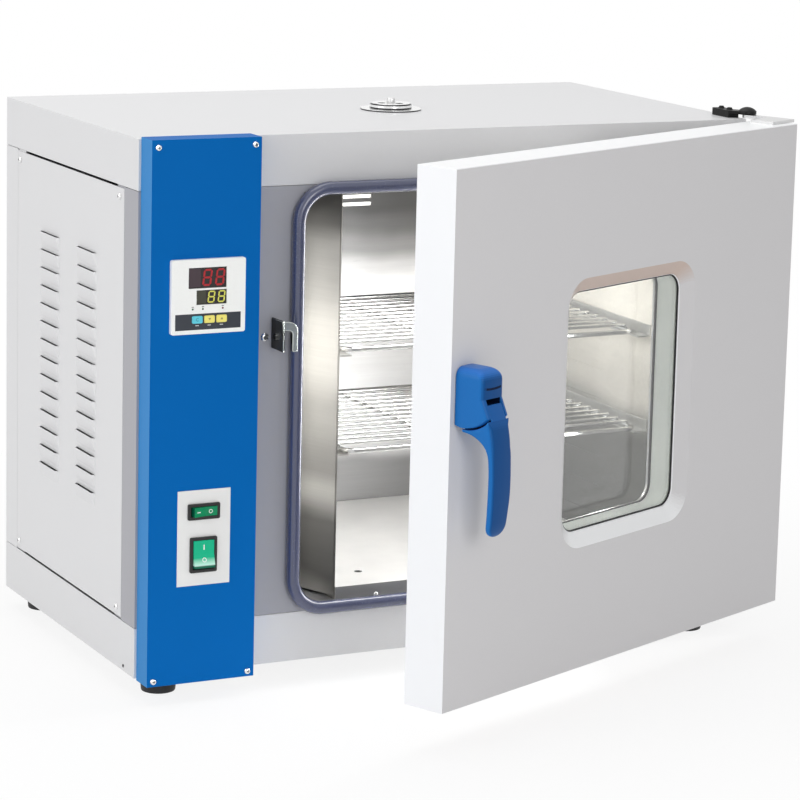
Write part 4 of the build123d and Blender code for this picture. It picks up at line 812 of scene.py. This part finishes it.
soften(0.0003, "heating_switch_rocker", "power_switch_rocker")
sign_white = finish("sign white", moulded, (0.92, 0.96, 0.93), 0.4)


def sign_ring(radius, stroke):
    """The off sign as two half rings."""
    halves = []
    for side in (1, -1):
        outer = [(u * side, v * side) for u, v in arc((0, 0), radius, 0, 180, 12)]
        inner = [(u * (1 - stroke / radius), v * (1 - stroke / radius)) for u, v in outer[::-1]]
        halves.append(outer + inner)
    return halves


for switch, x, z, wide, tall, sign in (
    ("heating", 49.6, 160, 1.9, 0.4, "on"),
    ("heating", 62.0, 160, 1.9, 0.6, "off"),
    ("power", 55.8, 126.6, 0.5, 2.4, "on"),
    ("power", 55.8, 115.0, 2.1, 0.65, "off"),
):
    shapes = sign_ring(wide, tall) if sign == "off" else [bar_outline(wide, tall)]
    rocker, body = f"{switch}_switch_rocker", f"{switch}_switch"
    stamp(f"{switch}_{sign}_sign", shapes, rocker, spot(x, -27, z), sign_white, body, lift=0.06)


# Vent: a chromed plate with a turning cap and its knob. The cap's two rims and
# the plate's edge are painted black, a painted dark reflection.
def rim_mask(name, low, high):
    """Node group: 1 between two heights."""
    group, parts, join, mask = mask_group(name)
    place = parts.new("ShaderNodeTexCoord")
    split = parts.new("ShaderNodeSeparateXYZ")
    near = parts.new("ShaderNodeMath")
    near.operation = "COMPARE"
    near.inputs[1].default_value = (low + high) / 2
    near.inputs[2].default_value = (high - low) / 2
    join.new(place.outputs["Object"], split.inputs[0])
    join.new(split.outputs["Z"], near.inputs[0])
    join.new(near.outputs[0], mask)
    return group


cap_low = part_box("vent_cap")[0][2]
cap_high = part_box("vent_cap")[1][2]
rim_painted_dark_reflection = (0.008, 0.008, 0.009)
cap_chrome = finish("cap chrome", polished, (0.88, 0.88, 0.88), 0.2, Metallic=0.5)
paint_over(cap_chrome, rim_mask("painted dark reflection at cap foot", cap_low - 0.0001, cap_low + 0.0013), rim_painted_dark_reflection)
paint_over(cap_chrome, rim_mask("painted dark reflection at cap rim", cap_high - 0.0015, cap_high - 0.0002), rim_painted_dark_reflection)
dress(cap_chrome, "vent_cap")
plate_chrome = finish("vent plate chrome", polished, (0.88, 0.88, 0.88), 0.2, Metallic=0.5)
plate_top = spot(0, 0, 500).z
paint_over(plate_chrome, rim_mask("painted dark reflection at plate edge", plate_top - 0.0001, plate_top + 0.0011), rim_painted_dark_reflection)
dress(plate_chrome, "vent_base")
knob = finish("light knob", moulded, (0.72, 0.72, 0.72), 0.3, Metallic=0.3)
dress(knob, "vent_knob")
soften(0.0006, "vent_knob")

# Hinges: black enamelled arm with a domed knuckle over the top strap, and the
# bracket low on the right side.
black_enamel = finish("black enamel", powder, (0.005, 0.005, 0.005), 0.45, Specular_IOR_Level=0.2)
dress(black_enamel, "hinge_arm", "hinge_bracket", "hinge_screws", "hinge_pins")
soften(0.0005, "hinge_arm", "hinge_bracket")

# Handle: blue moulded nylon, the base screwed to the door and the lever turning
# in it. Both are rounded all along their sides; a groove crosses the base's front.
blue = finish("blue plastic", moulded, (0.014, 0.155, 0.48), 0.32, Specular_IOR_Level=0.11)
# Faces toward the front are painted darker as painted shade, upward faces lighter as a painted highlight.
paint_over(blue, facing_mask("painted shade on handle front", ahead_of_door, 0.40, 0.99), (0.004, 0.070, 0.25))
paint_over(blue, facing_mask("painted highlight on handle top", (0, 0, 1), 0.25, 0.8), (0.035, 0.19, 0.62))
dress(blue, "handle_pin", "handle_base", "handle_lever")
painted_shade_blue = finish("painted shade blue", moulded, (0.001, 0.008, 0.035), 0.6, Specular_IOR_Level=0.1)
door_across = Vector((math.cos(door_open), math.sin(door_open), 0))
door_out = Vector(ahead_of_door)
hinge_x, hinge_y, door_front = 645, 6, 55.8
hinge = spot(hinge_x, hinge_y, 0)


def door_spot(x, out_mm, z):
    """Millimetres along the shut door, out from its front and up, turned to the open door."""
    along, out = x - hinge_x, out_mm + door_front + hinge_y
    return hinge + (door_across * along + door_out * out + aloft * z) / 1000


def smooth_line(points, steps=6):
    """A smooth curve through the points."""
    ends = [points[0]] + list(points) + [points[-1]]
    curve = []
    for before, here, after, beyond in zip(ends, ends[1:], ends[2:], ends[3:]):
        for i in range(steps):
            t = i / steps
            point = []
            for a, b, c, d in zip(before, here, after, beyond):
                square = (2 * a - 5 * b + 4 * c - d) * t ** 2
                cube = (3 * b - a - 3 * c + d) * t ** 3
                point.append(0.5 * (2 * b + (c - a) * t + square + cube))
            curve.append(tuple(point))
    return curve + [points[-1]]


def read_line(curve, level):
    """The second value of the curve where its first is the level."""
    for (a, u), (b, v) in zip(curve, curve[1:]):
        if a <= level <= b and b > a:
            return u + (v - u) * (level - a) / (b - a)
    return curve[0][1] if level < curve[0][0] else curve[-1][1]


def level_section(x0, x1, rear, front, rounds):
    """A level cut with four rounded corners, from the back at the left round to the front."""
    corners = (
        (x0, rear, 180, 1, 1),
        (x1, rear, 270, -1, 1),
        (x1, front, 0, -1, -1),
        (x0, front, 90, 1, -1),
    )
    outline = []
    for (x, y, turn, to_x, to_y), radius in zip(corners, rounds):
        radius = max(0.02, min(radius, 0.46 * (front - rear), 0.9 * (x1 - x0)))
        outline += arc((x + to_x * radius, y + to_y * radius), radius, turn, turn + 90, 5)
    return outline


def shoulder(radius, depth):
    """How far a rounded end stands in at this depth from the end."""
    reach = max(0.0, radius - depth)
    return radius - math.sqrt(max(0.0, radius ** 2 - reach ** 2))


def arc_reach(radius, z):
    """How far the round of this radius, under the base, reaches at a height."""
    return math.sqrt(max(0.0, radius ** 2 - (arc_z - z) ** 2))


def cheek_slant(z):
    """How far the cheeks' slanted front stands out beyond the cap's at a height."""
    return 6.8 * (cap_foot - z) / 15.3


def base_depths(z):
    """Back and front of the base at a height."""
    rear, front = 0.3, cap_front
    if z > top_z - crown_r:
        front += math.sqrt(max(0.0, crown_r ** 2 - (z - top_z + crown_r) ** 2)) - crown_r
    if z < cap_foot:
        front = cap_front + cheek_slant(z)
    if z < cheek_turn:
        front = arc_out + arc_reach(arc_r, z)
    if z < back_turn:
        rear = arc_out - arc_reach(arc_r, z)
    return rear, front


def add_plate(shape, x0, x1, rear, front, z0, z1):
    """A flat plate with sharp corners, in the door's own directions."""
    outline = level_section(x0, x1, rear, front, (0, 0, 0, 0))
    loft(shape, [(z0, outline), (z1, outline)], door_spot)


base_x0, base_x1, cheek, side_round, front_round = 118.2, 148.6, 5.2, 1, 4.6
top_z, cap_foot, cheek_turn, back_turn = 329.4, 304, 288.7, 278.6
cap_front, crown_r, crown_side = 30.0, 11.0, 8.4
arc_out, arc_z, arc_r = 10.5, 312.7, 35.6
shape = bmesh.new()
crown_levels = [top_z - crown_side * (1 - math.sin(math.radians(11.25 * i))) for i in range(9)]
sections = []
for z in [cap_foot, 310, 316, 319] + crown_levels:
    rear, front = base_depths(min(z, top_z - 0.05))
    inset = shoulder(crown_side, top_z - z)
    rounds = (side_round, side_round, front_round, front_round)
    sections.append((z, level_section(base_x0 + inset, base_x1 - inset, rear, front, rounds)))
loft(shape, sections, door_spot)
for x0, x1, rounds in (
    (base_x0, base_x0 + cheek, (side_round, 0, 0, front_round)),
    (base_x1 - cheek, base_x1, (0, side_round, front_round, 0)),
):
    sections = []
    for z in (277.15, 277.4, 278, 279, 280.5, 283, 286, cheek_turn, 292, 298, cap_foot):
        sections.append((z, level_section(x0, x1, *base_depths(z), rounds)))
    loft(shape, sections, door_spot)
base_piece = new_piece("handle_base_skin", finish_shape("handle_base_skin", shape), blue, "door")
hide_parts("handle_base", "handle_pin")

# Lever: drawn from its pivot down, as (drop, millimetres out from the door) for
# its front and back and (drop, half width) across, with a rounded tip.
pivot_x, pivot_z, lever_end, tip_round, root_drop, gap_r = 132.9, 306, 122.3, 10, 30.5, 37.2
fronts = smooth_line([
    (19.9, 36.9), (28, 39.5), (41, 41.8), (58, 42.8), (74, 43.2),
    (90, 42.8), (104, 41.6), (112, 40.6), (119, 38.7), (lever_end, 36.7),
])
backs = smooth_line([
    (root_drop, 7.4), (32.2, 7.6), (33.2, 15), (35.6, 22), (39.4, 28.5), (44, 32.8), (50, 35.6),
    (58, 36.6), (72, 36.9), (85, 36.6), (98, 35.7), (110, 34.6), (119, 33.6), (lever_end, 34.9),
])
widths = smooth_line([(18.6, 14.3), (40, 13.9), (60, 13.4), (85, 13.3), (105, 12.3), (lever_end, 11.4)])
drops = [20, 20.7, 21.5, 23, 25, 27, 28.5, 29.5, 30.2, root_drop, 31.4, 32.2, 32.5, 32.8]
drops += [33.2, 34.0, 34.8, 35.6, 36.8, 38, 39.4, 41.5, 44, 47, 50] + list(range(54, 111, 4))
drops += [112, 114, 116, 117.6, 119, 120.2, 121.1, 121.8, 122.15, lever_end]
sections = []
for drop in drops:
    z = pivot_z - drop
    rear = read_line(backs, drop) if drop >= root_drop else arc_out + arc_reach(gap_r, z)
    half = read_line(widths, drop) - shoulder(tip_round, lever_end - drop)
    across_it = (pivot_x - half, pivot_x + half, rear, read_line(fronts, drop))
    sections.append((z, level_section(*across_it, (2.6, 2.6, 4.4, 4.4))))
shape = bmesh.new()
loft(shape, sections, door_spot)
neck_x0, neck_x1, neck_top = base_x0 + cheek + 0.3, base_x1 - cheek - 0.3, 299
neck_front = cap_front - 0.3
sections = []
for z in (286, 288.5, neck_top):
    front = neck_front + cheek_slant(z)
    sections.append((z, level_section(neck_x0, neck_x1, front - 1.5, front, (0, 0, 0.6, 0.6))))
loft(shape, sections, door_spot)
lever_piece = new_piece("handle_lever_skin", finish_shape("handle_lever_skin", shape), blue, "handle")
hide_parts("handle_lever")

# Neck and inside of the handle: the same nylon, painted dark as painted shade, seen
# in the gap under the base and in the slot across its front.
shape = bmesh.new()
sections = []
for z in (274.4, 286, neck_top):
    front = min(neck_front + cheek_slant(z), 37.0) - 1.6
    sections.append((z, level_section(neck_x0, neck_x1, 8.2, front, (0, 0, 0, 0))))
loft(shape, sections, door_spot)
new_piece("handle_neck", finish_shape("handle_neck", shape), painted_shade_blue, "handle")
shape = bmesh.new()
cheek_in = base_x1 - cheek
add_plate(shape, base_x0 + 2, base_x1 - 2, 0.2, 1.2, 280, cap_foot)
add_plate(shape, base_x0 + 3, base_x1 - 3, 1, 28.5, cap_foot - 0.4, cap_foot + 0.1)
add_plate(shape, cheek_in - 0.15, cheek_in + 0.1, 1, 29.5, 292, cap_foot)
new_piece("handle_inside", finish_shape("handle_inside", shape), painted_shade_blue, "door")
bpy.context.view_layer.update()
# The groove across the base's front is a thin mark in painted shade.
groove_half, groove_dip, groove_tall = 14, 1.5, 2.0
dip = [(u, -groove_dip * (1 - (u / groove_half) ** 2)) for u in (-14, -11, -8, -5, -2, 2, 5, 8, 11, 14)]
groove = []
for i in range(len(dip) - 1):
    groove.append(dip[i:i + 2] + [(u, v + groove_tall) for u, v in dip[i:i + 2][::-1]])
groove_mid = door_spot(pivot_x, cap_front, 313)
stamp("handle_groove", groove, base_piece, groove_mid, painted_shade_blue, "door", door_across)

# Window: two panes of clear toughened glass with a pale spacer between them
# and a black seal at each rim.
glass = finish("glass", polished, (0.97, 0.98, 0.975), 0.0, Transmission_Weight=1.0, IOR=1.45)
dress(glass, "front_glass")
grey_glass = finish("grey glass", polished, (0.86, 0.87, 0.86), 0.0, Transmission_Weight=1.0, IOR=1.45)
dress(grey_glass, "rear_glass")
# The spacer glows faintly, a painted light.
spacer_painted_glow = {"Emission_Color": (0.95, 1.0, 0.93, 1), "Emission_Strength": 0.07}
spacer = finish("spacer", powder, (0.92, 0.95, 0.89), 0.5, **spacer_painted_glow)
dress(spacer, "window_spacer")

# Painted light in the two slots in the back wall: pale strips that glow, set behind
# the slots and filling them to within a hair of their edges.
slot_painted_glow = {"Emission_Color": (1, 1, 0.97, 1), "Emission_Strength": 0.75}
slot_glow_finish = finish("slot_glow_finish", powder, (0.95, 0.95, 0.93), 0.6, **slot_painted_glow)
slot_x0, slot_x1, slot_z, slot_pitch, slot_half = 331.7, 390.3, 381, 8, 1.6
for row in range(2):
    z = slot_z + slot_pitch * row
    low, high = spot(slot_x0, 328.3, z - slot_half), spot(slot_x1, 329.3, z + slot_half)
    strip = sheet_mesh("slot_glow_strip", low, high)
    new_piece(f"slot_glow_strip_{row}", strip, slot_glow_finish, "cabinet")

# Rivet low on the left side and the screw on the floor plate's lip: small domes.
# The rivet is dark and the screw bright.
rivet = dome_mesh("tray_rivet", spot(0, 27.2, 4.9), -back, 1.7, 0.8)
new_piece("tray_rivet", rivet, recess_shade_and_rivet_black, "cabinet")
lip_place = spot(251, 0, 53)
lip_place.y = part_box("floor_plate")[0][1]
sill = dome_mesh("sill_screw", lip_place, across, 2.6, 1.4)
new_piece("sill_screw", sill, chrome, "cabinet")

low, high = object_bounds()
